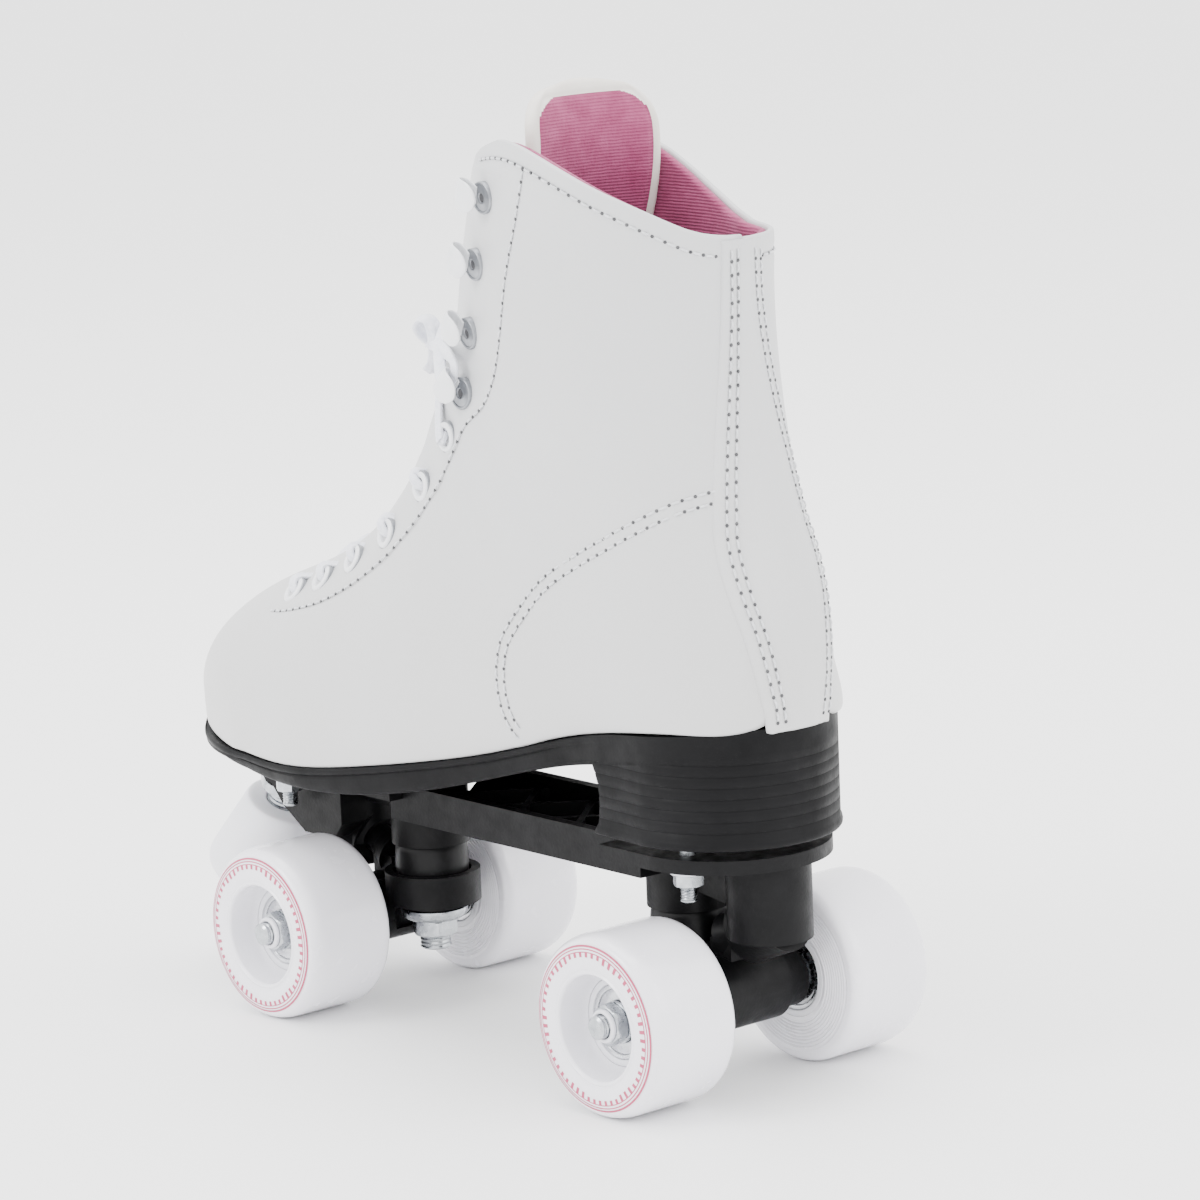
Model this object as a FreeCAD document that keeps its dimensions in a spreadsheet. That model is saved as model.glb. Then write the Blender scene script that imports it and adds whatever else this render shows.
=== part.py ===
import FreeCAD, Part
import math
import os
import re
import Sketcher

# Quad roller skate for the left foot: lined boot, black sole with a stacked heel, nylon plate,
# two kingpin trucks on rubber cushions, four ball-bearing wheels and a screw-in toe stop.
# Row frame: +X towards the toe, +Y to the skate's left, +Z up, origin on the floor under
# the middle of the whole skate.

V = FreeCAD.Vector
X_AXIS = V(1, 0, 0)
Y_AXIS = V(0, 1, 0)
Z_AXIS = V(0, 0, 1)
TURNED_UP = FreeCAD.Rotation(X_AXIS, 90)
PRIMITIVE_LEFT = FreeCAD.Rotation(X_AXIS, -90)

DIMENSIONS = [
    # whole skate
    ("wheelbase", "157.6"),
    ("frame_shift", "-26.088"),
    ("axle_front_x", "=frame_shift + wheelbase / 2"),
    # wheels: distances along the axle are counted from the wheel's inner face
    ("wheel_r", "27"),
    ("wheel_width", "32"),
    ("wheel_centre_y", "38.8"),
    ("wheel_inner_y", "=wheel_centre_y - wheel_width / 2"),
    ("face_r", "24.4"),
    ("shoulder", "4.6"),
    ("bowl_r", "16"),
    ("hub_r", "13"),
    ("hub_width", "22.5"),
    ("hub_waist_r", "9.4"),
    ("bearing_r", "10.98"),
    ("bearing_width", "7"),
    ("bearing_gap", "0.3"),
    ("outer_race_r", "9.5"),
    ("inner_race_r", "5.5"),
    ("ball_pitch_r", "7.5"),
    ("ball_r", "1.95"),
    ("shield_thickness", "0.5"),
    ("outer_bearing_start", "=hub_width - bearing_gap + 0.1 - bearing_width"),
    # axles, washers and nuts
    ("axle_r", "3.48"),
    ("axle_end_y", "54"),
    ("axle_bore_r", "3.5"),
    ("axle_nut_flats", "11"),
    ("axle_nut_height", "5.5"),
    ("axle_washer_thickness", "0.9"),
    ("tube_half", "21.4"),
    ("tube_end_r", "9"),
    ("tube_mid_r", "11"),
    ("tube_mid_length", "26"),
    # trucks: kingpin inboard of the axle, pivot outboard and higher
    ("kingpin_inset", "18.8"),
    ("kingpin_front_x", "=axle_front_x - kingpin_inset"),
    ("kingpin_r", "4.9"),
    ("kingpin_head_r", "8"),
    ("kingpin_end_z", "15.5"),
    ("kingpin_head_z", "66"),
    ("kingpin_top_z", "71"),
    ("pivot_run", "35"),
    ("pivot_rise", "14"),
    ("ring_z", "36"),
    ("ring_r", "15"),
    ("ring_height", "10"),
    ("ring_hole_r", "7.5"),
    ("cup_top_r", "12.3"),
    ("cup_depth", "3"),
    ("cup_low_r", "12.4"),
    ("cup_low_depth", "2.5"),
    ("cushion_bore_r", "5.2"),
    ("cushion_r", "11.6"),
    ("cushion_low_r", "9.7"),
    ("cushion_gap", "0.15"),
    ("washer_z", "25.4"),
    ("washer_r", "10.6"),
    ("kingpin_nut_flats", "13"),
    ("kingpin_nut_height", "5.5"),
    ("pivot_pin_r", "4.9"),
    ("pivot_pin_end", "39.5"),
    ("pivot_cup_r", "7.4"),
    ("pivot_cup_start", "28.6"),
    ("pivot_cup_length", "13"),
    ("pivot_housing_r", "10"),
    # plate
    ("plate_top_z", "72.8"),
    ("deck_thickness", "4.2"),
    ("deck_front_half", "25"),
    ("deck_front_centre", "99"),
    ("deck_rear_half", "30.5"),
    ("deck_rear_centre", "-78"),
    ("tower_r", "12.3"),
    ("tower_bottom_z", "50"),
    ("boss_x", "95"),
    ("boss_r", "12.5"),
    ("boss_bottom_z", "46"),
    ("rail_half", "20"),
    ("rail_thickness", "3.5"),
    ("rail_bottom_z", "61.5"),
    ("floor_thickness", "3"),
    ("nose_half", "16.5"),
    ("bolt_y", "22"),
    ("bolt_front_x", "102.6"),
    ("bolt_rear_x", "-85"),
    ("bolt_r", "2.45"),
    ("bolt_end_z", "58.6"),
    ("plate_nut_flats", "8"),
    ("plate_nut_height", "4"),
    # toe stop: distances along its axis are counted up from the widest rim
    ("stop_x", "146"),
    ("stop_z", "28"),
    ("stop_tilt", "26"),
    ("stop_r", "20"),
    ("stop_neck_r", "12.5"),
    ("stop_height", "26.5"),
    ("stop_face_drop", "5"),
    ("stem_r", "6.3"),
    ("stem_start", "4"),
    ("stem_end", "47"),
    ("stop_boss_r", "10.5"),
    ("stop_boss_start", "36"),
    ("stop_nut_flats", "19"),
    ("stop_nut_height", "4.4"),
    # boot
    ("leather", "2"),
    ("counter_inset", "2.05"),
    ("counter_back", "3.3"),
    ("lining_inset", "3.4"),
    ("lining_back", "4.8"),
    ("strip_half", "8.5"),
    ("strip_foot_half", "14"),
    ("sole_grow", "0.8"),
    ("heel_front_x", "-57.5"),
    ("insole_thickness", "3"),
    ("tongue_thickness", "6"),
    ("eyelet_r", "4.6"),
    ("eyelet_bore_r", "2.2"),
    ("eyelet_barrel_r", "2.9"),
    ("hook_width", "7"),
    ("lace_r", "1.5"),
    ("lace_tip_r", "1.6"),
    ("lace_tip_length", "14"),
    ("knot_r", "4.2"),
]

doc = FreeCAD.newDocument("quad_roller_skate")
sheet = doc.addObject("Spreadsheet::Sheet", "Dims")
for row, (alias, value) in enumerate(DIMENSIONS, start=1):
    sheet.set("A%d" % row, alias)
    sheet.set("B%d" % row, value)
    sheet.setAlias("B%d" % row, alias)
doc.recompute()
D = {alias: float(sheet.get(alias)) for alias, value in DIMENSIONS}
MIDDLE = D["frame_shift"]
NODES = []


def linked(expression):
    """The same expression with every name looked up in the sheet."""
    return re.sub(r"[a-z_]\w*", lambda word: "Dims." + word.group(), expression)


def bind(part, **links):
    """Tie properties of a part to the sheet; a double underscore stands for a dot."""
    for name, expression in links.items():
        part.setExpression(name.replace("__", "."), linked(expression))
    return part


def put(part, at, rotation=None):
    """Place a part: at holds three expressions."""
    part.Placement = FreeCAD.Placement(V(0, 0, 0), rotation or FreeCAD.Rotation())
    for axis, expression in zip("xyz", at):
        part.setExpression("Placement.Base." + axis, linked(expression))
    return part


def node(part, label):
    """Keep a finished part as the node with this name."""
    part.Label = label
    NODES.append(part)
    return part


def polygon(name, corners):
    """A closed sketch whose corners are pairs of expressions, all tied to the sheet."""
    sketch = doc.addObject("Sketcher::SketchObject", name)
    count = len(corners)
    start = [V(math.cos(2 * math.pi * i / count), math.sin(2 * math.pi * i / count), 0)
             for i in range(count)]
    for i in range(count):
        sketch.addGeometry(Part.LineSegment(start[i], start[(i + 1) % count]), False)
    for i in range(count):
        sketch.addConstraint(Sketcher.Constraint("Coincident", i, 2, (i + 1) % count, 1))
    for i, corner in enumerate(corners):
        for kind, expression, value in zip(("DistanceX", "DistanceY"), corner, (start[i].x, start[i].y)):
            index = sketch.addConstraint(Sketcher.Constraint(kind, -1, 1, i, 1, value))
            sketch.setExpression("Constraints[%d]" % index, linked(expression))
    return sketch


def turned(name, corners, at, rotation=None):
    """A turned piece: corners are (radius, distance along the axis)."""
    part = doc.addObject("Part::Revolution", name)
    part.Source = polygon(name + "_profile", corners)
    part.Axis = Y_AXIS
    part.Angle = 360
    part.Solid = True
    return put(part, at, rotation)


def cylinder(name, radius, height, at, rotation=None):
    part = doc.addObject("Part::Cylinder", name)
    bind(part, Radius=radius, Height=height)
    return put(part, at, rotation)


def box(name, size, at):
    part = doc.addObject("Part::Box", name)
    bind(part, Length=size[0], Width=size[1], Height=size[2])
    return put(part, at)


def prism(name, flats, height, at, rotation=None):
    """A hexagon bar, sized across its flats."""
    part = doc.addObject("Part::Prism", name)
    part.Polygon = 6
    bind(part, Circumradius="(%s) / 1.7320508" % flats, Height=height)
    return put(part, at, rotation)


def fuse(name, parts):
    part = doc.addObject("Part::MultiFuse", name)
    part.Shapes = parts
    part.Refine = True
    return part


def cut(name, base, tool):
    part = doc.addObject("Part::Cut", name)
    part.Base = base
    part.Tool = tool
    part.Refine = True
    return part


def compound(name, parts):
    part = doc.addObject("Part::Compound", name)
    part.Links = parts
    return part


def mirror(name, source, normal):
    """A twin across the skate's middle: Y_AXIS for left and right, X_AXIS for front and rear."""
    part = doc.addObject("Part::Mirroring", name)
    part.Source = source
    part.Normal = normal
    return bind(part, Base__x="frame_shift")


def nut(name, flats, height, bore, at, rotation=None):
    blank = prism(name + "_blank", flats, height, at, rotation)
    hole = cylinder(name + "_hole", bore, height, at, rotation)
    return cut(name, blank, hole)


def shaped(name, shape):
    """A piece whose free-form shape is worked out below from the sheet's sizes."""
    part = doc.addObject("Part::Feature", name)
    part.Shape = shape
    return part


# ---------------------------------------------------------------- boot surface

# Sections of the boot from toe tip to collar. Each is a flat closed ring from a low point on
# the sole or back line to a high point on the instep or shin line, in the skate's middle plane:
# low x and z, high x and z, half width, share of its height where it is widest, fullness above.
SECTIONS = [
    (152.0, 88.0, 152.0, 98.0, 0.0, 0.32, 0.50),
    (148.5, 87.0, 148.5, 107.0, 13.5, 0.32, 0.50),
    (140.5, 85.0, 140.5, 115.0, 25.0, 0.31, 0.50),
    (129.0, 82.5, 129.0, 122.5, 33.0, 0.30, 0.50),
    (114.0, 80.5, 115.0, 129.5, 38.8, 0.28, 0.50),
    (97.0, 79.5, 99.5, 135.5, 42.8, 0.26, 0.53),
    (77.0, 79.5, 83.5, 142.5, 45.0, 0.24, 0.57),
    (56.0, 81.5, 69.0, 151.5, 45.0, 0.22, 0.62),
    (33.0, 85.0, 57.0, 162.5, 43.2, 0.22, 0.65),
    (8.0, 89.5, 47.5, 175.0, 40.0, 0.24, 0.64),
    (-18.0, 95.5, 41.0, 187.5, 37.5, 0.27, 0.61),
    (-45.0, 103.0, 36.5, 199.0, 36.5, 0.30, 0.58),
    (-70.0, 107.5, 33.0, 209.0, 36.5, 0.33, 0.55),
    (-91.0, 109.5, 30.0, 218.0, 36.3, 0.37, 0.53),
    (-104.0, 113.5, 27.0, 226.0, 35.6, 0.40, 0.52),
    (-109.0, 127.0, 24.0, 233.5, 35.3, 0.42, 0.51),
    (-106.5, 148.0, 21.0, 241.0, 35.2, 0.44, 0.50),
    (-100.5, 172.0, 18.0, 248.5, 35.2, 0.45, 0.50),
    (-95.5, 198.0, 14.5, 256.5, 35.5, 0.45, 0.50),
    (-93.0, 223.0, 11.0, 265.0, 36.2, 0.45, 0.50),
    (-93.0, 247.0, 7.0, 274.0, 37.2, 0.45, 0.50),
    (-94.5, 268.0, 3.0, 283.0, 38.2, 0.45, 0.50),
]
LAST = len(SECTIONS) - 1
ANKLE = 12
HEEL_TURN = 15.2
HEEL_CENTRE = -78.0
HEEL_R = 33.0
TOE_START = 100.0
TOE_LENGTH = 52.5
TOE_HALF = 41.0
SOLE_STATIONS = [(-78, 33), (-50, 31.5), (-20, 32.5), (10, 37), (40, 42.5), (70, 44.5), (100, 41)]


def smooth_line(points):
    """An interpolated curve whose parameter counts the points from 0."""
    curve = Part.BSplineCurve()
    curve.interpolate(Points=points, Parameters=[float(i) for i in range(len(points))])
    return curve


LOW_LINE = smooth_line([V(s[0], 0, s[1]) for s in SECTIONS])
HIGH_LINE = smooth_line([V(s[2], 0, s[3]) for s in SECTIONS])
GIRTH_LINE = smooth_line([V(s[4], s[5] * 100, s[6] * 100) for s in SECTIONS])
SOLE_SIDE = smooth_line([V(x, half, 0) for x, half in SOLE_STATIONS])


def sole_side_half(x):
    """Half width of the sole between heel and toe, found along its side curve."""
    low, high = 0.0, float(len(SOLE_STATIONS) - 1)
    for step in range(40):
        middle = (low + high) / 2
        if SOLE_SIDE.value(middle).x < x:
            low = middle
        else:
            high = middle
    return SOLE_SIDE.value(low).y


def sole_half(x):
    """Half width of the sole on the outer side of the foot."""
    if x < HEEL_CENTRE:
        return math.sqrt(max(HEEL_R ** 2 - (HEEL_CENTRE - x) ** 2, 0))
    if x > TOE_START:
        share = min((x - TOE_START) / TOE_LENGTH, 1)
        return TOE_HALF * math.sqrt(1 - share ** 2.3)
    return sole_side_half(x)


def inner_side_gain(x):
    """How much fuller the big-toe side is than the outer side."""
    ball = min(max((x - 20) / 90, 0), 1)
    arch = math.exp(-((x + 5) / 30) ** 2)
    return 1 + 0.12 * ball * ball * (3 - 2 * ball) - 0.05 * arch


def inner_side_pinch(t, share):
    """How much slimmer the top of the boot is on the big-toe side."""
    rise = min(max((t - 13) / 7, 0), 1)
    middle = min(max(share / 0.2, 0), 1)
    return 1 - 0.34 * rise * rise * (3 - 2 * rise) * middle * middle * (3 - 2 * middle) * (1 - share)


def boot_point(t, share, side, inset=0.0):
    """A point of the boot's surface: t counts sections, share goes from low to high line."""
    low = LOW_LINE.value(t)
    high = HIGH_LINE.value(t)
    girth = GIRTH_LINE.value(t)
    up = high - low
    up.normalize()
    low = low + up * inset
    high = high - up * inset
    half = girth.x - inset
    widest = girth.y / 100
    fullness = girth.z / 100
    flat = min(max((HEEL_TURN - t) / 2, 0), 1)
    foot = max(min(sole_half(low.x), girth.x) * 0.985 * flat - inset, 0)
    if share > widest:
        rise = (share - widest) / (1 - widest)
        width = half * (1 - rise ** 2) ** fullness
    else:
        fall = (widest - share) / widest
        width = foot + (half - foot) * math.sqrt(max(1 - fall ** 2.2, 0))
    if side < 0:
        width *= (1 + (inner_side_gain(low.x) - 1) * (1 - share)) * inner_side_pinch(t, share)
    point = low + (high - low) * share
    return V(point.x + MIDDLE, side * width, point.z)


RING_POINTS = 18
FLAT_STEPS = [0.0, 1.6, 3.2, 4.0]
RING_STEPS = FLAT_STEPS + [4.0 + i for i in range(1, RING_POINTS)]
RING_STEPS += [2 * RING_STEPS[-1] - step for step in reversed(RING_STEPS[:-1])]


def boot_ring(t, inset, count=RING_POINTS):
    """One closed ring round the boot, starting in the middle of its low side.

    All rings share RING_STEPS as their curve parameters, so that a loft through them stays light.
    """
    shares = [(1 - math.cos(math.pi * i / count)) / 2 for i in range(1, count + 1)]
    base = boot_point(t, 0, 1, inset)
    flat = base.y > 1
    sides = []
    for side in (1, -1):
        first = boot_point(t, shares[0], side, inset)
        line = []
        for reach in (0.4, 0.8):
            rise = reach ** (8 if flat else 2)
            line.append(V(base.x + (first.x - base.x) * rise, first.y * reach,
                          base.z + (first.z - base.z) * rise))
        sides.append(line + [boot_point(t, share, side, inset) for share in shares])
    left, right = sides
    points = [V(base.x, 0, base.z)] + left + right[-2::-1]
    curve = Part.BSplineCurve()
    curve.interpolate(Points=points, PeriodicFlag=True, Parameters=RING_STEPS)
    return Part.Wire([curve.toShape()])


def joined_loft(first, second):
    """One solid from two lofts that share a ring, for a form that turns through a right angle."""
    return Part.makeLoft(first, True, False).fuse(Part.makeLoft(second, True, False))


def boot_solid(inset):
    """The boot's outer form, or the form at some depth under its surface: foot and shaft lofts."""
    start = 0.22
    while GIRTH_LINE.value(start).x - inset < 4:
        start += 0.05
    foot = [start] + [i / 2 for i in range(int(start * 2) + 1, 2 * ANKLE + 1)]
    shaft = [i / 2 for i in range(2 * ANKLE, 2 * LAST + 1)]
    return joined_loft([boot_ring(t, inset) for t in foot], [boot_ring(t, inset) for t in shaft])


def side_prism(points, half, curved=False, start=None):
    """A wall across the skate with this outline in the XZ plane, from start to half in Y."""
    if start is None:
        start = -half
    shifted = [V(x + MIDDLE, start, z) for x, z in points]
    edges = []
    if curved:
        line = Part.BSplineCurve()
        line.interpolate(Points=shifted[:curved])
        edges.append(line.toShape())
        rest = shifted[curved - 1:] + [shifted[0]]
    else:
        rest = shifted + [shifted[0]]
    edges += [Part.LineSegment(a, b).toShape() for a, b in zip(rest, rest[1:])]
    return Part.Face(Part.Wire(edges)).extrude(V(0, half - start, 0))


def plan_prism(points, bottom, top, axis="z"):
    """A prism with straight sides from corner pairs: (x, y) upright, or (y, z) lying along X."""
    if axis == "z":
        corners = [V(x + MIDDLE, y, bottom) for x, y in points]
        along = V(0, 0, top - bottom)
    else:
        corners = [V(bottom + MIDDLE, y, z) for y, z in points]
        along = V(top - bottom, 0, 0)
    return Part.Face(Part.makePolygon(corners + [corners[0]])).extrude(along)


def lace_slot():
    """The long opening over the instep and shin, between the two rows of eyelets."""
    half = [(9, 134.5), (14, 152), (17.5, 186), (20, 240), (22, 262), (30, 276), (34, 300)]
    outline = [(y, z) for y, z in half] + [(-y, z) for y, z in reversed(half)]
    return plan_prism(outline, -45, 210, "x")


def above_collar():
    """Everything above the collar line, which dips to the heel, and lower on the big-toe side."""
    back = [(-125, 244), (-103, 246), (-92.5, 246.8)]
    outer = back + [(-90.5, 248.8), (-85.5, 253.2), (-79, 257.8), (-70, 262.5), (-58.7, 268), (-48, 272.2),
                    (-39, 274.8), (-30, 275.7), (-20, 274.8), (-8, 272.4), (30, 268)]
    inner = back + [(-90, 247.2), (-76, 248.6), (-63, 251), (-50, 256.4), (-36, 263.8), (-25.6, 269.2),
                    (-12, 272), (30, 272.5)]
    roof = [(30, 330), (-125, 330)]
    left = side_prism(outer + roof, 60, len(outer), 0)
    return left.fuse(side_prism(inner + roof, 0, len(inner), -60))


SLOT = lace_slot()
TOP = above_collar()
OUTER = boot_solid(0)


def shell(outside, inside, cutters):
    """A skin between two depths, opened by the cutters."""
    outer = OUTER if outside == 0 else boot_solid(outside)
    skin = outer.cut(boot_solid(inside))
    for cutter in cutters:
        skin = skin.cut(cutter)
    return skin


def surface_frame(t, share, side):
    """Point, outward normal and direction towards the lacing gap on the boot's surface."""
    point = boot_point(t, share, side)
    along = boot_point(t + 0.05, share, side) - boot_point(t - 0.05, share, side)
    inward = boot_point(t, share + 0.01, side) - boot_point(t, share - 0.01, side)
    normal = along.cross(inward)
    centre = (LOW_LINE.value(t) + HIGH_LINE.value(t)) * 0.5
    if normal.dot(point - V(centre.x + MIDDLE, 0, centre.z)) < 0:
        normal = normal * -1
    normal.normalize()
    inward.normalize()
    return point, normal, inward


# Eyelets from ankle to toe and hooks from collar to ankle: section count and height share.
EYELETS = [(11.97, 0.77), (10.33, 0.76), (8.78, 0.77), (7.52, 0.81), (6.47, 0.83), (5.6, 0.84)]
HOOKS = [(19.4, 0.715), (17.64, 0.765), (15.54, 0.80), (13.63, 0.79)]


def drill(t, share, side, radius, depth):
    point, normal, inward = surface_frame(t, share, side)
    return Part.makeCylinder(radius, depth, point - normal * (depth - 2), normal)


EYELET_HOLES = [drill(t, share, side, D["eyelet_barrel_r"] + 0.05, 10) for t, share in EYELETS
                for side in (1, -1)]


def strip_region():
    """Room for the back strip, which widens towards the sole."""
    foot, top = D["strip_foot_half"], D["strip_half"]
    outline = [(-foot, 60), (foot, 60), (foot, 118), (top, 160), (top, 300), (-top, 300), (-top, 160),
               (-foot, 118)]
    return plan_prism(outline, -130, -60, "x")


def boot_skins():
    """Upper, back strip, heel counter and lining."""
    skin = shell(0, D["leather"], [SLOT, TOP] + EYELET_HOLES)
    strip = strip_region()
    node(shaped("upper", skin.cut(strip)), "upper")
    node(shaped("back_strip", skin.common(strip)), "back_strip")
    lining = shell(D["lining_inset"], D["lining_back"], [SLOT, TOP] + EYELET_HOLES)
    node(shaped("lining", lining), "lining")
    reach = [(-130, 104), (-125, 176), (-97, 176), (-66, 161), (-34, 140), (-24, 118), (-32, 104)]
    stiffener = shell(D["counter_inset"], D["counter_back"], []).common(side_prism(reach, 60))
    node(shaped("heel_counter", stiffener), "heel_counter")


boot_skins()


# ---------------------------------------------------------------- sole, heel and insole

def sole_outline(grow, z):
    """Closed outline of the sole at one height: heel circle, waist, ball and toe."""
    heel = [HEEL_CENTRE - HEEL_R * math.sin(math.radians(a)) for a in (90, 75, 60, 45, 30, 15)]
    sides = [-78, -60, -42, -24, -6, 14, 34, 54, 74, 92]
    toe = [TOE_START + TOE_LENGTH * share for share in (0.15, 0.4, 0.62, 0.8, 0.92, 0.98, 1.0)]
    stations = heel + sides + toe
    left = []
    for x in stations:
        half = sole_half(x)
        reach = grow * (1 if half > 1 else 0)
        shift = grow * (max(-(x - HEEL_CENTRE) / HEEL_R, 0) if x < HEEL_CENTRE else max((x - 120) / 32, 0))
        out = -shift if x < HEEL_CENTRE else shift
        left.append((x + out, half + reach, half * inner_side_gain(x) + reach))
    tip = left[-1][0]
    points = [V(x + MIDDLE, y, z) for x, y, inner in left[1:-1]]
    points += [V(tip + MIDDLE, 0, z)]
    points += [V(x + MIDDLE, -inner, z) for x, y, inner in reversed(left[1:-1])]
    points += [V(left[0][0] + MIDDLE, 0, z)]
    curve = Part.BSplineCurve()
    curve.interpolate(Points=points, PeriodicFlag=True)
    return Part.Face(Part.Wire([curve.toShape()]))


def sole_top():
    """The line that the boot's bottom follows, a hair lower."""
    line = [(s[0], s[1] - 0.25) for s in SECTIONS[:14]]
    return [(160, 90.5)] + line + [(-104, 110.6), (-118, 111.5)]


SOLE_BOTTOM = [(-118, 103.5), (-92, 101.5), (-70, 98.5), (-45, 94.4), (-18, 87.6), (8, 80.6), (30, 76.2),
               (52, 73.6), (76, 72.85), (100, 73.8), (120, 76.6), (138, 80.2), (160, 86.4)]


def sole_pieces():
    """Outsole, stacked heel block and insole."""
    top_line = sole_top()
    block = sole_outline(D["sole_grow"], 60).extrude(V(0, 0, 70))
    band = side_prism(top_line + [(-118, 40), (160, 40)], 60, curved=len(top_line))
    under = side_prism(SOLE_BOTTOM + [(160, 20), (-118, 20)], 60, curved=len(SOLE_BOTTOM))
    outsole = block.common(band).cut(under)
    node(shaped("outsole", outsole), "outsole")
    front = D["heel_front_x"]
    heel_side = [(front + 3, 110), (front - 1.5, 92), (front, 84), (front + 1, D["plate_top_z"]),
                 (-125, D["plate_top_z"]), (-125, 110)]
    heel = sole_outline(0, 60).extrude(V(0, 0, 70)).common(side_prism(heel_side, 60)).common(under)
    node(shaped("heel_block", heel), "heel_block")
    inside = boot_solid(D["lining_back"] + 0.1)
    rise = D["lining_back"] + D["insole_thickness"]
    base = [(150, 94)] + [(x, z + rise) for x, z in top_line[3:-2]] + [(-112, 119)]
    floor = side_prism(base + [(-112, 60), (150, 60)], 60, curved=len(base))
    node(shaped("insole", inside.common(floor)), "insole")


sole_pieces()


# ---------------------------------------------------------------- tongue

# Middle line of the tongue from toe end to top: x, z, half width, how far the edges lie behind.
TONGUE = [
    (95, 125.5, 9, 3), (79, 132.5, 14, 5.5), (64, 141.5, 17, 8), (51.5, 153, 19, 10.5),
          (40.5, 165.2, 20, 14),
    (30.5, 179.3, 20.5, 16.3), (22.5, 197.5, 21, 19.2), (8, 218, 22.5, 18.4), (-10, 238, 24, 12.6),
    (-22, 256, 25, 7.2), (-26.5, 271, 25, 4.8), (-26, 281, 23, 3.8), (-24.5, 288, 17, 3),
]


def tongue_section(index):
    """One curve across the front of the tongue."""
    x, z, half, depth = TONGUE[index]
    before = TONGUE[max(index - 1, 0)]
    after = TONGUE[min(index + 1, len(TONGUE) - 1)]
    along = V(after[0] - before[0], 0, after[1] - before[1])
    along.normalize()
    outward = V(along.z, 0, -along.x)
    points = []
    for step in (-1, -0.6, -0.2, 0.2, 0.6, 1):
        drop = depth * step * step - D["tongue_thickness"] / 2
        points.append(V(x + MIDDLE, half * step, z) - outward * drop)
    curve = Part.BSplineCurve()
    curve.interpolate(Points=points)
    return Part.Wire([curve.toShape()])


def tongue_pad():
    """The tongue as one curved sheet with an even thickness."""
    sheet_face = Part.makeLoft([tongue_section(i) for i in range(len(TONGUE))], False, False)
    pad = sheet_face.makeOffsetShape(-D["tongue_thickness"], 0.01, fill=True)
    if pad.BoundBox.XMax > sheet_face.BoundBox.XMax + 1:
        pad = sheet_face.makeOffsetShape(D["tongue_thickness"], 0.01, fill=True)
    return pad.Solids[0] if pad.Solids else Part.makeSolid(pad.Shells[0])


node(shaped("tongue", tongue_pad()), "tongue")


# ---------------------------------------------------------------- eyelets, hooks and laces

def eyelet(t, share, side):
    """A flanged metal ring with a barrel through leather and lining."""
    point, normal, inward = surface_frame(t, share, side)
    flange = Part.makeCylinder(D["eyelet_r"], 0.8, point + normal * 0.25, normal)
    barrel = Part.makeCylinder(D["eyelet_barrel_r"], 6.2, point - normal * 5.4, normal)
    hole = Part.makeCylinder(D["eyelet_bore_r"], 9, point - normal * 7, normal)
    return flange.fuse(barrel).cut(hole)


def hook(t, share, side):
    """A riveted lace hook: a flat foot, a bend towards the gap and a lip that turns back."""
    point, normal, inward = surface_frame(t, share, side)
    across = normal.cross(inward)
    across.normalize()
    width = D["hook_width"]
    outline = [(-4.6, 0.3), (3.6, 0.3), (7.0, 2.4), (7.4, 4.4), (5.6, 6.2), (1.6, 6.6),
               (1.6, 5.5), (5.0, 5.2), (6.1, 4.0), (5.9, 3.0), (3.2, 1.5), (-4.6, 1.5)]
    corners = [point + inward * e + normal * n - across * (width / 2) for e, n in outline]
    strip = Part.Face(Part.makePolygon(corners + [corners[0]])).extrude(across * width)
    hole = Part.makeCylinder(1.3, 4, point - normal * 1 - inward * 1.2, normal)
    return strip.cut(hole)


node(shaped("eyelets", Part.makeCompound([eyelet(t, s, side) for t, s in EYELETS for side in (1, -1)])),
     "eyelets")
node(shaped("hooks", Part.makeCompound([hook(t, s, side) for t, s in HOOKS for side in (1, -1)])), "hooks")


def rounded_path(points):
    """Straight runs joined by tangent arcs, each as large as its two runs allow."""
    edges = []
    here = points[0]
    for before, corner, after in zip(points, points[1:], points[2:]):
        back = before - corner
        ahead = after - corner
        run = min(back.Length, ahead.Length)
        back.normalize()
        ahead.normalize()
        turn = math.pi - back.getAngle(ahead)
        radius = 0.45 * run / math.tan(turn / 2)
        start = corner + back * (0.45 * run)
        end = corner + ahead * (0.45 * run)
        bisector = back + ahead
        bisector.normalize()
        middle = corner + bisector * (radius / math.cos(turn / 2) - radius)
        edges.append(Part.LineSegment(here, start).toShape())
        edges.append(Part.Arc(start, middle, end).toShape())
        here = end
    edges.append(Part.LineSegment(here, points[-1]).toShape())
    return Part.Wire(edges)


def tube(points, radius):
    """A round cord along rounded straight runs."""
    path = rounded_path(points)
    ring = Part.Wire([Part.makeCircle(radius, points[0], points[1] - points[0])])
    return path.makePipeShell([ring], True, False)


def lace_over(t, side, layer):
    """A point of a strand over one side of the instep, clear of the leather."""
    point, normal, inward = surface_frame(t, 0.9, side)
    return point + normal * (LACE_LIFT + 2 + 0.6 * layer)


def lace_crossing(index, side):
    """One strand from an eyelet over the gap to the next higher eyelet on the other side."""
    low, low_normal, _ = surface_frame(EYELETS[index][0], EYELETS[index][1], side)
    high, high_normal, _ = surface_frame(EYELETS[index - 1][0], EYELETS[index - 1][1], -side)
    start_t = EYELETS[index][0]
    rise_t = EYELETS[index - 1][0] - start_t
    layer = 0.0 if side > 0 else LAYER
    return tube([low + low_normal * LACE_LIFT, lace_over(start_t + 0.27 * rise_t, side, layer),
                 over_ridge(start_t + 0.5 * rise_t, layer), lace_over(start_t + 0.73 * rise_t, -side, layer),
                 high + high_normal * LACE_LIFT], D["lace_r"])


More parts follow.
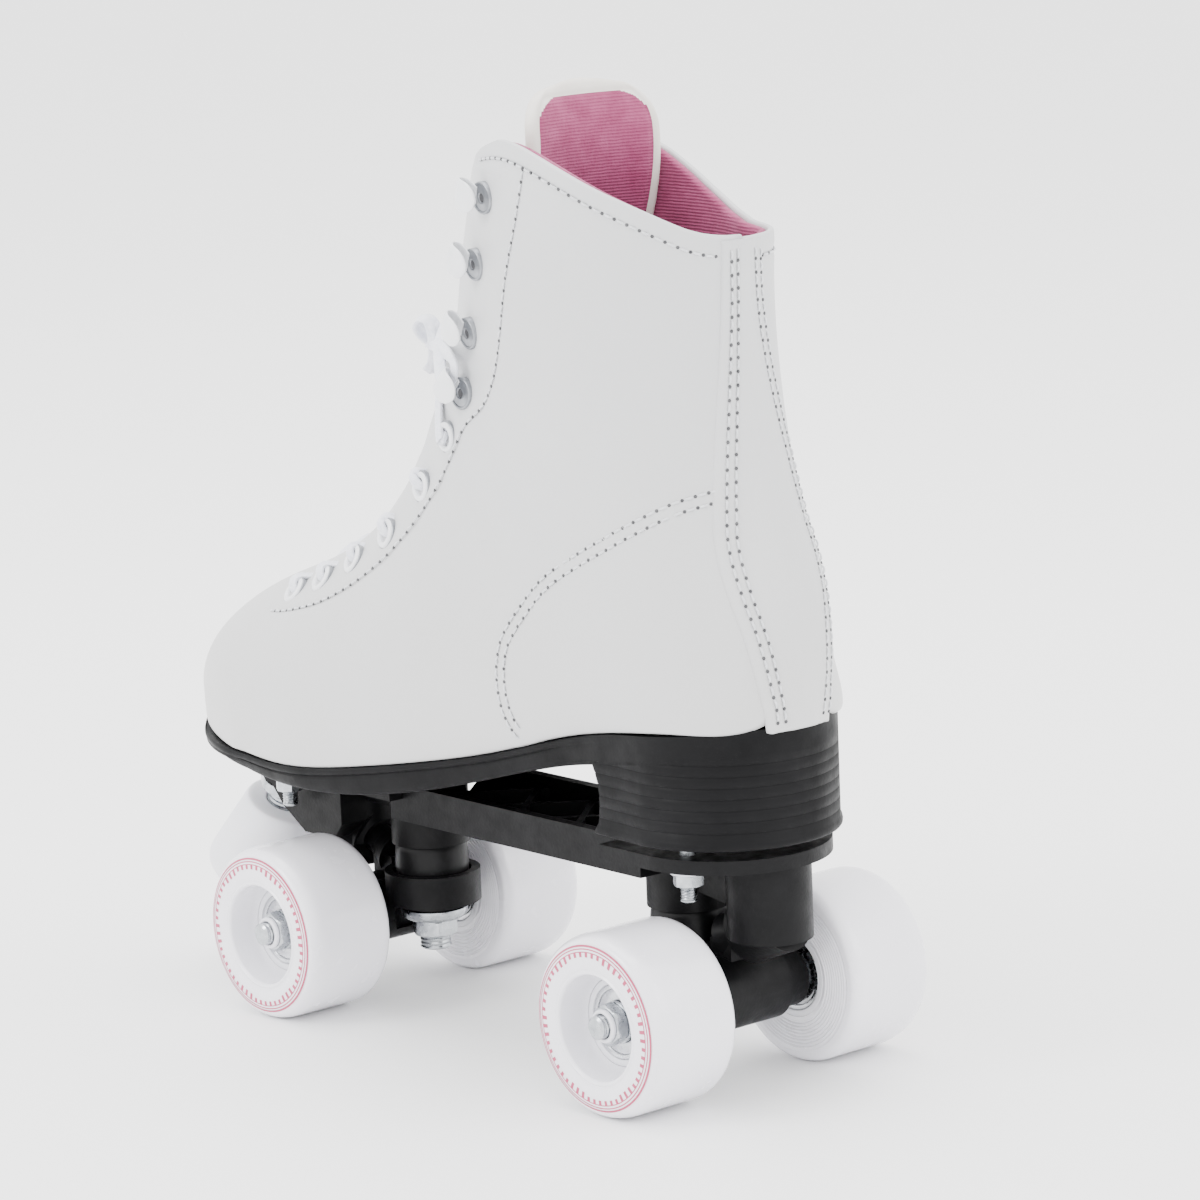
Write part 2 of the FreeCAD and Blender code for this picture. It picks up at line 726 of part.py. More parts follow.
def over_ridge(t, layer):
    """A point just outside the shin or instep line; the second strand lies a layer higher."""
    low = LOW_LINE.value(t)
    ridge = HIGH_LINE.value(t)
    out = ridge - low
    out.normalize()
    return V(ridge.x + MIDDLE, 0, ridge.z) + out * (LACE_LIFT + layer)


def hook_strand(side):
    """The strand from a top eyelet over the gap, round the lowest hook and back to the knot."""
    eye, eye_normal, _ = surface_frame(EYELETS[0][0], EYELETS[0][1], side)
    foot, normal, inward = surface_frame(HOOKS[-1][0], HOOKS[-1][1], -side)
    up = boot_point(HOOKS[-1][0] + 0.05, HOOKS[-1][1], -side) - foot
    up.normalize()
    layer = 0.0 if side > 0 else LAYER
    mouth = foot + inward * 11.5 + normal * 5.5
    return tube([eye + eye_normal * LACE_LIFT, lace_over(12.2, side, layer), over_ridge(12.55, layer),
                 lace_over(13.0, -side, layer), mouth - up * 3, mouth + up * 3,
                 KNOT + V(-4, -side * (D["knot_r"] + 1.2), 1)], D["lace_r"])


LACE_LIFT = D["lace_r"] + 1.7
LAYER = 2 * D["lace_r"] + 0.6
KNOT = V(41 + MIDDLE, 0, 205)
# Loop of the bow on one side of the knot, and the two tails, which hang down the inner side.
LOOP = [(43, 3, 207.5), (45, 7.5, 212.5), (46.5, 12.5, 213.5), (45.5, 16.5, 208.5), (43, 15, 200.5),
        (41.5, 9, 197.8), (41.5, 2.8, 201.8)]
TAIL_UPPER = [(41.5, -5.4, 204), (38.5, -14, 201), (31, -23.5, 194.5), (22.5, -31, 186), (15.5, -36, 175),
              (11.5, -38, 163.5), (10, -40.5, 151.5), (11, -43.5, 140)]
TAIL_LOWER = [(45.8, -2.8, 201.2), (46, -12, 194.5), (39.5, -22.5, 184.8), (32.3, -31.5, 174),
              (27.5, -36.5, 162.5),
              (27, -39.5, 150), (30, -42.5, 138)]


def in_row(points):
    return [V(x + MIDDLE, y, z) for x, y, z in points]


def lace_bow():
    """The knot with its two loops."""
    bow = Part.makeSphere(D["knot_r"], KNOT)
    for side in (1, -1):
        bow = bow.fuse(tube(in_row([(x, y * side, z) for x, y, z in LOOP]), D["lace_r"]))
    return bow


def describe_cord(name, points):
    """Print the radii of a tail's bends, and its volume beside section times length."""
    path = rounded_path(in_row(points))
    radii = [round(edge.Curve.Radius, 1) for edge in path.Edges if hasattr(edge.Curve, "Radius")]
    volume = tube(in_row(points), D["lace_r"]).Volume
    plain = math.pi * D["lace_r"] ** 2 * path.Length
    print("%s: length %.1f mm, bends %s mm, volume %.1f, section times length %.1f mm3"
          % (name, path.Length, radii, volume, plain))


def lace_tip(points):
    """The hard tip that closes a tail."""
    end = points[-1]
    along = end - points[-2]
    return Part.makeCylinder(D["lace_tip_r"], D["lace_tip_length"], end, along)


bow = lace_bow()
strands = [lace_crossing(i, side) for i in range(1, len(EYELETS)) for side in (1, -1)]
strands += [hook_strand(side) for side in (1, -1)]
# The knot presses into the strand under it, so each strand is hollowed where the bow lies on it.
strands = [strand.cut(bow) for strand in strands]
node(shaped("lace", Part.makeCompound(strands)), "lace")
node(shaped("lace_bow", bow), "lace_bow")
describe_cord("lace_tail_upper", TAIL_UPPER)
describe_cord("lace_tail_lower", TAIL_LOWER)
node(shaped("lace_tail_upper", tube(in_row(TAIL_UPPER), D["lace_r"])), "lace_tail_upper")
node(shaped("lace_tail_lower", tube(in_row(TAIL_LOWER), D["lace_r"])), "lace_tail_lower")
tips = [lace_tip(in_row(points)) for points in (TAIL_UPPER, TAIL_LOWER)]
node(shaped("lace_tips", Part.makeCompound(tips)), "lace_tips")


# ---------------------------------------------------------------- plate

def at_middle(offset):
    return "frame_shift + (%s)" % offset


def side_pad(name, corners, half):
    """A block across the skate whose side outline is tied to the sheet."""
    part = doc.addObject("Part::Extrusion", name)
    sketch = polygon(name + "_side", corners)
    sketch.Placement = FreeCAD.Placement(V(0, 0, 0), TURNED_UP)
    part.Base = sketch
    part.DirMode = "Custom"
    part.Dir = Y_AXIS
    part.Solid = True
    part.Symmetric = True
    return bind(part, LengthFwd="2 * (%s)" % half)


PIVOT_LENGTH = math.hypot(D["pivot_run"], D["pivot_rise"])
PIVOT_ANGLE = math.degrees(math.atan2(D["pivot_run"], D["pivot_rise"]))
PIVOT_TURN = FreeCAD.Rotation(Y_AXIS, PIVOT_ANGLE)
COS_PIVOT = "(pivot_run / %.6f)" % PIVOT_LENGTH
SIN_PIVOT = "(pivot_rise / %.6f)" % PIVOT_LENGTH


def on_pivot(distance):
    """Expressions of a point on the front truck's steering axis."""
    return ("kingpin_front_x + (%s) * %s" % (distance, COS_PIVOT), "0",
            "ring_z + (%s) * %s" % (distance, SIN_PIVOT))


STOP_TURN = FreeCAD.Rotation(Y_AXIS, -D["stop_tilt"])
STOP_SIN = "%.6f" % math.sin(math.radians(D["stop_tilt"]))
STOP_COS = "%.6f" % math.cos(math.radians(D["stop_tilt"]))


def on_stop(distance):
    """Expressions of a point on the toe stop's axis."""
    return (at_middle("stop_x - (%s) * %s" % (distance, STOP_SIN)), "0",
            "stop_z + (%s) * %s" % (distance, STOP_COS))


def plate_blank():
    """Decks, rails, ribs, towers, pivot housings and toe stop boss in one moulding."""
    deck_z = "plate_top_z - deck_thickness"
    parts = [
        box("deck_front", ("deck_front_centre - 48", "2 * deck_front_half", "deck_thickness"),
            (at_middle("48"), "-deck_front_half", deck_z)),
        cylinder("deck_nose", "deck_front_half", "deck_thickness",
                 (at_middle("deck_front_centre"), "0", deck_z)),
        box("deck_rear", ("22", "2 * deck_rear_half", "deck_thickness"),
            (at_middle("deck_rear_centre"), "-deck_rear_half", deck_z)),
        cylinder("deck_heel", "deck_rear_half", "deck_thickness",
                 (at_middle("deck_rear_centre"), "0", deck_z)),
        box("waist_floor", ("116", "2 * rail_half - 2", "floor_thickness"),
            (at_middle("-62"), "1 - rail_half", "rail_bottom_z")),
        side_pad("nose_block", [
            (at_middle("84"), deck_z), (at_middle("84"), "54"), (at_middle("88"), "boss_bottom_z + 3"),
            (at_middle("103"), "boss_bottom_z + 3"), (at_middle("114"), "56"), (at_middle("122"), "65"),
            (at_middle("123"), deck_z)], "nose_half"),
        side_pad("rear_block", [
            (at_middle("-58"), deck_z), (at_middle("-58"), "58"), (at_middle("-88"), "54"),
            (at_middle("-98"), "54"), (at_middle("-98"), deck_z)], "6"),
        side_pad("front_web", [
            (at_middle("58"), deck_z), (at_middle("58"), "60"), (at_middle("86"), "60"),
            (at_middle("86"), deck_z)], "6"),
        cylinder("stop_boss", "stop_boss_r", "stem_end + 1.4 - stop_boss_start",
                 on_stop("stop_boss_start"), STOP_TURN),
    ]
    for side, name in ((1, "left"), (-1, "right")):
        edge = "rail_half - rail_thickness" if side > 0 else "-rail_half"
        parts.append(box("rail_" + name, ("116", "rail_thickness", "plate_top_z - rail_bottom_z"),
                         (at_middle("-62"), edge, "rail_bottom_z")))
    for index in range(4):
        for lean in (1, -1):
            rib = doc.addObject("Part::Box", "rib_%d_%s" % (index, "a" if lean > 0 else "b"))
            bind(rib, Length="44.8", Width="2", Height="6")
            rib.Placement = FreeCAD.Placement(V(0, 0, 0), FreeCAD.Rotation(Z_AXIS, lean * 50))
            bind(rib, Placement__Base__x=at_middle("%d" % (-56 + 26 * index)),
                 Placement__Base__z="rail_bottom_z + 2",
                 Placement__Base__y="%d * 17.2" % -lean)
            parts.append(rib)
    tower = cylinder("tower_front", "tower_r", "plate_top_z - tower_bottom_z",
                     ("kingpin_front_x", "0", "tower_bottom_z"))
    boss = cylinder("boss_front", "boss_r", "plate_top_z - boss_bottom_z - 1",
                    (at_middle("boss_x"), "0", "boss_bottom_z"))
    housing = cylinder("housing_front", "pivot_housing_r", "16", on_pivot("pivot_cup_start"), PIVOT_TURN)
    for part in (tower, boss, housing):
        parts += [part, mirror(part.Name.replace("front", "rear"), part, X_AXIS)]
    return fuse("plate_blank", parts)


def plate_cuts():
    """Kingpin holes, pivot sockets, bolt holes and the toe stop's hole."""
    cuts = []
    kingpin_hole = cylinder("kingpin_hole_front", "kingpin_r + 0.03", "60",
                            ("kingpin_front_x", "0", "tower_bottom_z - 5"))
    head_hole = cylinder("head_hole_front", "kingpin_head_r + 0.05", "20",
                         ("kingpin_front_x", "0", "kingpin_head_z - 0.05"))
    socket = cylinder("socket_front", "pivot_cup_r + 0.03", "pivot_cup_length + 20.03",
                      on_pivot("pivot_cup_start - 20"),
                      PIVOT_TURN)
    for part in (kingpin_hole, head_hole, socket):
        cuts += [part, mirror(part.Name.replace("front", "rear"), part, X_AXIS)]
    for place in ("front", "rear"):
        for side in (1, -1):
            cuts.append(cylinder("bolt_hole_%s_%d" % (place, side + 1), "bolt_r + 0.05", "20",
                                 (at_middle("bolt_%s_x" % place), "%d * bolt_y" % side, "plate_top_z - 15")))
    cuts.append(cylinder("stem_hole", "stem_r + 0.05", "30", on_stop("stop_boss_start - 5"), STOP_TURN))
    return fuse("plate_cuts", cuts)


node(cut("plate", plate_blank(), plate_cuts()), "plate")


def plate_fasteners():
    """Four bolts with heads sunk in the sole's underside, and their nuts below the plate."""
    bolts, nuts = [], []
    for place in ("front", "rear"):
        for side in (1, -1):
            spot = (at_middle("bolt_%s_x" % place), "%d * bolt_y" % side)
            name = "%s_%s" % (place, "left" if side > 0 else "right")
            shank = [("0", "bolt_end_z"), ("bolt_r", "bolt_end_z"), ("bolt_r", "plate_top_z - 0.1"),
                     ("0", "plate_top_z - 0.1")]
            bolts.append(turned("plate_bolt_" + name, shank, spot + ("0",), TURNED_UP))
            low = "plate_top_z - deck_thickness - plate_nut_height - 0.02"
            nuts.append(nut("plate_nut_" + name, "plate_nut_flats", "plate_nut_height", "bolt_r + 0.01",
                            spot + (low,)))
    node(compound("plate_bolts", bolts), "plate_bolts")
    node(compound("plate_nuts", nuts), "plate_nuts")


plate_fasteners()


# ---------------------------------------------------------------- toe stop

stop_profile = [
    ("stem_r + 0.01", "stem_start"), ("0", "stem_start"), ("0", "-stop_face_drop"),
                ("stop_r - 4", "-stop_face_drop"),
    ("stop_r - 1", "-1.5"), ("stop_r", "0"), ("stop_r - 0.6", "2"),
                ("stop_neck_r + 0.6", "stop_height - 1.5"),
    ("stop_neck_r - 1", "stop_height"), ("stem_r + 0.01", "stop_height")]
STOP_TURNED = STOP_TURN.multiply(TURNED_UP)
node(turned("toe_stop_pad", stop_profile, on_stop("0"), STOP_TURNED), "toe_stop_pad")
stem_profile = [("0", "stem_start"), ("stem_r", "stem_start"), ("stem_r", "stem_end - 1"),
                ("stem_r - 1", "stem_end"),
                ("0", "stem_end")]
node(turned("toe_stop_stem", stem_profile, on_stop("0"), STOP_TURNED), "toe_stop_stem")
node(nut("toe_stop_nut", "stop_nut_flats", "stop_nut_height", "stem_r + 0.05",
         on_stop("stop_boss_start - stop_nut_height - 0.05"), STOP_TURN), "toe_stop_nut")


# ---------------------------------------------------------------- trucks

def kingpin_set():
    """Kingpin, its nut and cup washer, and the two cushions."""
    here = ("kingpin_front_x", "0", "0")
    pin = [("0", "kingpin_end_z"), ("kingpin_r - 0.8", "kingpin_end_z"),
           ("kingpin_r", "kingpin_end_z + 0.8"),
           ("kingpin_r", "kingpin_head_z"), ("kingpin_head_r", "kingpin_head_z"),
           ("kingpin_head_r", "kingpin_top_z"),
           ("0", "kingpin_top_z")]
    base = "ring_z + ring_height / 2 - cup_depth + cushion_gap"
    upper = [("cushion_bore_r", base), ("cushion_r - 0.7", base), ("cushion_r", base + " + 2"),
             ("cushion_r", "tower_bottom_z - 2.2"), ("cushion_r - 0.7", "tower_bottom_z - cushion_gap"),
             ("cushion_bore_r", "tower_bottom_z - cushion_gap")]
    top = "ring_z - ring_height / 2 + cup_low_depth - cushion_gap"
    lower = [("cushion_bore_r", "washer_z + 1.35"), ("cushion_low_r - 1.3", "washer_z + 1.35"),
             ("cushion_low_r", "washer_z + 2.6"), ("cushion_low_r", top), ("cushion_bore_r", top)]
    cup = [("kingpin_r + 0.1", "washer_z"), ("washer_r - 1.6", "washer_z"), ("washer_r", "washer_z + 2.1"),
           ("washer_r", "washer_z + 3.5"), ("washer_r - 0.7", "washer_z + 3.5"),
           ("washer_r - 0.7", "washer_z + 2.3"),
           ("washer_r - 1.9", "washer_z + 1.2"), ("kingpin_r + 0.1", "washer_z + 1.2")]
    pieces = {
        "kingpin": turned("kingpin_front", pin, here, TURNED_UP),
        "kingpin_nut": nut("kingpin_nut_front", "kingpin_nut_flats", "kingpin_nut_height",
                           "kingpin_r + 0.01",
                           ("kingpin_front_x", "0", "washer_z - kingpin_nut_height - 0.05")),
        "cushion_upper": turned("cushion_upper_front", upper, here, TURNED_UP),
        "cushion_lower": turned("cushion_lower_front", lower, here, TURNED_UP),
        "cushion_washer": turned("cushion_washer_front", cup, here, TURNED_UP),
    }
    sleeve = cylinder("pivot_cup_blank", "pivot_cup_r", "pivot_cup_length", on_pivot("pivot_cup_start"),
                      PIVOT_TURN)
    bore = cylinder("pivot_cup_bore", "pivot_pin_r + 0.05", "pivot_cup_length - 1.5",
                    on_pivot("pivot_cup_start"),
                    PIVOT_TURN)
    pieces["pivot_cup"] = cut("pivot_cup_front", sleeve, bore)
    return pieces


def hanger():
    """Cast hanger: axle tube, cushion ring, web and pivot pin."""
    neck = doc.addObject("Part::Cone", "hanger_neck")
    bind(neck, Radius1="7", Radius2="pivot_pin_r", Height="6")
    put(neck, on_pivot("19"), PIVOT_TURN)
    blank = fuse("hanger_blank", [
        cylinder("tube_long", "tube_end_r", "2 * tube_half", ("axle_front_x", "-tube_half", "wheel_r"),
                 PRIMITIVE_LEFT),
        cylinder("tube_mid", "tube_mid_r", "tube_mid_length",
                 ("axle_front_x", "-tube_mid_length / 2", "wheel_r"),
                 PRIMITIVE_LEFT),
        cylinder("ring_blank", "ring_r", "ring_height", ("kingpin_front_x", "0",
                                                         "ring_z - ring_height / 2")),
        box("hanger_web", ("kingpin_inset - 8", "22", "13"), ("kingpin_front_x + 8", "-11", "24")),
        box("hanger_rib", ("9", "10", "14"), ("axle_front_x - 4.5", "-5", "29")),
        neck,
        cylinder("pivot_pin", "pivot_pin_r", "pivot_pin_end - 19", on_pivot("19"), PIVOT_TURN),
    ])
    holes = fuse("hanger_holes", [
        cylinder("ring_hole", "ring_hole_r", "30", ("kingpin_front_x", "0", "ring_z - 15")),
        cylinder("cup_top", "cup_top_r", "cup_depth + 6",
                 ("kingpin_front_x", "0", "ring_z + ring_height / 2 - cup_depth")),
        cylinder("cup_low", "cup_low_r", "cup_low_depth + 10",
                 ("kingpin_front_x", "0", "ring_z - ring_height / 2 - 10")),
        cylinder("axle_bore", "axle_bore_r", "60", ("axle_front_x", "-30", "wheel_r"), PRIMITIVE_LEFT),
    ])
    return cut("hanger_front", blank, holes)


def axle_set():
    """Axle with its washers and nuts, and the bearings' inner rings and spacers that stay on it."""
    here = ("axle_front_x", "0", "wheel_r")
    rod = [("0", "-axle_end_y"), ("axle_r - 0.6", "-axle_end_y"), ("axle_r", "0.6 - axle_end_y"),
           ("axle_r", "axle_end_y - 0.6"), ("axle_r - 0.6", "axle_end_y"), ("0", "axle_end_y")]
    inner = ("axle_front_x", "wheel_inner_y", "wheel_r")
    bore = "axle_r + 0.02"
    step = [(bore, "tube_half + 0.05 - wheel_inner_y"), ("inner_race_r", "tube_half + 0.05 - wheel_inner_y"),
            ("inner_race_r", "bearing_gap - 0.05"), (bore, "bearing_gap - 0.05")]
    washer = [(bore, "hub_width"), ("6.4", "hub_width"), ("6.4", "hub_width + axle_washer_thickness"),
              (bore, "hub_width + axle_washer_thickness")]
    race = []
    for name, start in (("inner", "bearing_gap"), ("outer", "outer_bearing_start")):
        middle = start + " + bearing_width / 2"
        race.append(turned("inner_ring_" + name, [
            (bore, start), ("inner_race_r", start), ("inner_race_r", middle + " - 1.2"),
                                                  ("inner_race_r - 0.35", middle),
            ("inner_race_r", middle + " + 1.2"), ("inner_race_r", start + " + bearing_width"),
            (bore, start + " + bearing_width")], inner))
    spacer = [(bore, "bearing_gap + bearing_width + 0.03"), ("5", "bearing_gap + bearing_width + 0.03"),
              ("5", "outer_bearing_start - 0.03"), (bore, "outer_bearing_start - 0.03")]
    step_washer = turned("step_washer", step, inner)
    nut_washer = turned("nut_washer", washer, inner)
    spacer_tube = turned("spacer_tube", spacer, inner)
    axle_nut = nut("axle_nut_left", "axle_nut_flats", "axle_nut_height", "axle_r + 0.01",
                   ("axle_front_x", "wheel_inner_y + hub_width + axle_washer_thickness + 0.05",
                    "wheel_r"), PRIMITIVE_LEFT)

    def both(name, parts):
        return compound(name, parts + [mirror(part.Name + "_right", part, Y_AXIS) for part in parts])

    return {
        "axle": turned("axle_front", rod, here),
        "axle_washers": both("axle_washers_front", [step_washer, nut_washer]),
        "axle_nuts": both("axle_nuts_front", [axle_nut]),
        "bearing_inner_rings": both("bearing_inner_rings_front", race + [spacer_tube]),
    }


def wheel_set():
    """Front left wheel: urethane tyre, hub core, bearing outer rings with shields, and balls."""
    inner = ("axle_front_x", "wheel_inner_y", "wheel_r")
    tyre = [("hub_r", "0"), ("face_r - 3", "0"), ("face_r", "1"), ("wheel_r - 0.6", "4.4"), ("wheel_r", "7"),
            ("wheel_r", "wheel_width - shoulder - 1.5"), ("wheel_r - 0.5", "wheel_width - shoulder"),
            ("face_r + 0.5", "wheel_width - 0.6"), ("face_r", "wheel_width"),
            ("bowl_r + 0.6", "wheel_width"),
            ("bowl_r - 0.6", "wheel_width - 1.2"), ("bowl_r - 1.9", "wheel_width - 5"),
            ("hub_r", "hub_width")]
    seat = "bearing_r + 0.02"
    core = [(seat, "0"), ("hub_r - 0.01", "0"), ("hub_r - 0.01", "hub_width"), (seat, "hub_width"),
            (seat, "outer_bearing_start - 0.02"), ("hub_waist_r", "outer_bearing_start - 0.02"),
            ("hub_waist_r", "bearing_gap + bearing_width + 0.02"),
            (seat, "bearing_gap + bearing_width + 0.02")]
    rings, balls = [], []
    for name, start in (("inner", "bearing_gap"), ("outer", "outer_bearing_start")):
        end = start + " + bearing_width"
        middle = start + " + bearing_width / 2"
        rings.append(turned("outer_ring_" + name, [
            ("bearing_r", start), ("bearing_r", end), ("inner_race_r + 0.15", end),
            ("inner_race_r + 0.15", end + " - shield_thickness"),
                                                   ("outer_race_r", end + " - shield_thickness"),
            ("outer_race_r", middle + " + 0.8"), ("outer_race_r + 0.15", middle),
                                                   ("outer_race_r", middle + " - 0.8"),
            ("outer_race_r", start + " + shield_thickness"),
                                                   ("inner_race_r + 0.15", start + " + shield_thickness"),
            ("inner_race_r + 0.15", start)], inner))
        for index in range(7):
            ball = doc.addObject("Part::Sphere", "ball_%s_%d" % (name, index))
            bind(ball, Radius="ball_r")
            angle = 2 * math.pi * index / 7
            put(ball, ("axle_front_x + ball_pitch_r * %.6f" % math.cos(angle), "wheel_inner_y + " + middle,
                       "wheel_r + ball_pitch_r * %.6f" % math.sin(angle)))
            balls.append(ball)
    return {
        "tyre": turned("tyre_front_left", tyre, inner),
        "hub": turned("hub_front_left", core, inner),
        "bearing_rings": compound("bearing_rings_front_left", rings),
        "bearing_balls": compound("bearing_balls_front_left", balls),
    }


truck = kingpin_set()
truck["hanger"] = hanger()
truck.update(axle_set())
for piece, part in truck.items():
    node(part, piece + "_front")
    node(mirror(piece + "_rear", part, X_AXIS), piece + "_rear")

for piece, part in wheel_set().items():
    node(part, piece + "_front_left")
    right = node(mirror(piece + "_front_right", part, Y_AXIS), piece + "_front_right")
    node(mirror(piece + "_rear_left", part, X_AXIS), piece + "_rear_left")
    node(mirror(piece + "_rear_right", right, X_AXIS), piece + "_rear_right")


# ---------------------------------------------------------------- checks and export

doc.recompute()
for part in doc.Objects:
    if "Invalid" in part.State or "Error" in part.State:
        raise RuntimeError("%s failed: %s" % (part.Name, part.State))
for part in NODES:
    if part.Shape.isNull() or not part.Shape.isValid():
        raise RuntimeError("%s has no valid shape" % part.Label)
    if not part.Shape.Solids:
        raise RuntimeError("%s holds no solid" % part.Label)

os.makedirs("parts", exist_ok=True)
everything = FreeCAD.BoundBox()
for part in NODES:
    part.Shape.exportStep("parts/%s.step" % part.Label)
    everything.add(part.Shape.BoundBox)
    print("%-28s solids %2d  volume %10.1f" % (part.Label, len(part.Shape.Solids), part.Shape.Volume))
print("nodes", len(NODES), "box", everything)
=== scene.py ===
import math

import bmesh
import bpy
import numpy as np
from mathutils import Matrix, Vector, kdtree


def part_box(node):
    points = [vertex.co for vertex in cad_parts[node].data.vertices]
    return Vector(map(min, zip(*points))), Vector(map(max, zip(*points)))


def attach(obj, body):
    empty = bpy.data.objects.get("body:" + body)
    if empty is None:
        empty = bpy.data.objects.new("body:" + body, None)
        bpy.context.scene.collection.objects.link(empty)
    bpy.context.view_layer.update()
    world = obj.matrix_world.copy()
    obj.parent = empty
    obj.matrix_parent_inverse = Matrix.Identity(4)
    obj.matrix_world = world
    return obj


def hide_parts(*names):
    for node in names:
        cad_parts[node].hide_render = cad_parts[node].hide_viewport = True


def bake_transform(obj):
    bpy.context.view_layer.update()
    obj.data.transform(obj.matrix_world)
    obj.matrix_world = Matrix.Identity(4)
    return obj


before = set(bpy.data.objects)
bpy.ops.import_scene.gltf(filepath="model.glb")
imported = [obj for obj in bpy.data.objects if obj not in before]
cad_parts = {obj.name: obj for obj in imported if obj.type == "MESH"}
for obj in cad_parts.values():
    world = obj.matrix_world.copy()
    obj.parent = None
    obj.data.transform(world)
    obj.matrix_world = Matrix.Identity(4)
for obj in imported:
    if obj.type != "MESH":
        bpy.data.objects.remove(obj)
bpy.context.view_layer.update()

# Lengths below are in millimetres, counted from the floor point midway between the axles:
# x towards the toe, y towards the skate's left, z up.
MM = 0.001
PLACES = [(end, side) for end in ("front", "rear") for side in ("left", "right")]


def box_centre(node):
    low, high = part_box(node)
    return (np.array(low) + np.array(high)) / 2 / MM


WHEEL_CENTRE = {place: box_centre("tyre_%s_%s" % place) for place in PLACES}
MIDDLE_X = sum(centre[0] for centre in WHEEL_CENTRE.values()) / 4
AXLE_X = WHEEL_CENTRE["front", "left"][0] - MIDDLE_X
WHEEL_R = WHEEL_CENTRE["front", "left"][2]
WHEEL_WIDTH = 32.0
PLATE_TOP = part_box("plate")[1].z / MM


def metres(points):
    """Points of the skate's own frame as metres of the CAD frame."""
    return (np.asarray(points, float) + (MIDDLE_X, 0, 0)) * MM


# ---------------------------------------------------------------- camera and lights

def make_camera():
    """A long lens behind the skate's left side, looking a little down."""
    azimuth, elevation, roll = (math.radians(a) for a in (-130.662, 10.764, -2.323))
    distance, target_z, slide_right, slide_up = 1390.0, 150.0, 17.366, -16.372
    back = Vector((math.sin(azimuth) * math.cos(elevation), -math.cos(azimuth) * math.cos(elevation),
                   math.sin(elevation)))
    right = (-back).cross(Vector((0, 0, 1))).normalized()
    up = right.cross(-back)
    tilted_right = right * math.cos(roll) + up * math.sin(roll)
    tilted_up = up * math.cos(roll) - right * math.sin(roll)
    place = Vector((0, 0, target_z)) + back * distance + tilted_right * slide_right + tilted_up * slide_up
    data = bpy.data.cameras.new("camera")
    data.sensor_width = 36.0
    data.lens = 139.47
    data.clip_end = 60.0
    camera = bpy.data.objects.new("camera", data)
    turn = Matrix((tilted_right, tilted_up, back)).transposed().to_4x4()
    camera.matrix_world = Matrix.Translation(metres(place)) @ turn
    bpy.context.scene.collection.objects.link(camera)
    bpy.context.scene.camera = camera


make_camera()


LIT_POINT = Vector((0, 0, 0.14))


def area_light(name, place, size, power):
    """A round white light, in metres and watts, that faces the middle of the skate."""
    data = bpy.data.lights.new(name, "AREA")
    data.shape = "DISK"
    data.size = size
    data.energy = power
    light = bpy.data.objects.new(name, data)
    light.location = place
    light.rotation_euler = (LIT_POINT - Vector(place)).to_track_quat("-Z", "Y").to_euler()
    bpy.context.scene.collection.objects.link(light)


def make_lights():
    world = bpy.data.worlds.new("studio")
    bpy.context.scene.world = world
    world.use_nodes = True
    background = world.node_tree.nodes["Background"]
    background.inputs["Color"].default_value = (1.0, 1.0, 1.0, 1.0)
    background.inputs["Strength"].default_value = 2.9
    area_light("key", (0.5, 1.7, 1.3), 0.9, 24.0)
    area_light("back", (-1.6, -0.7, 1.1), 1.2, 12.0)
    area_light("top", (0.2, 0.0, 2.0), 1.6, 30.0)


make_lights()


# ---------------------------------------------------------------- materials

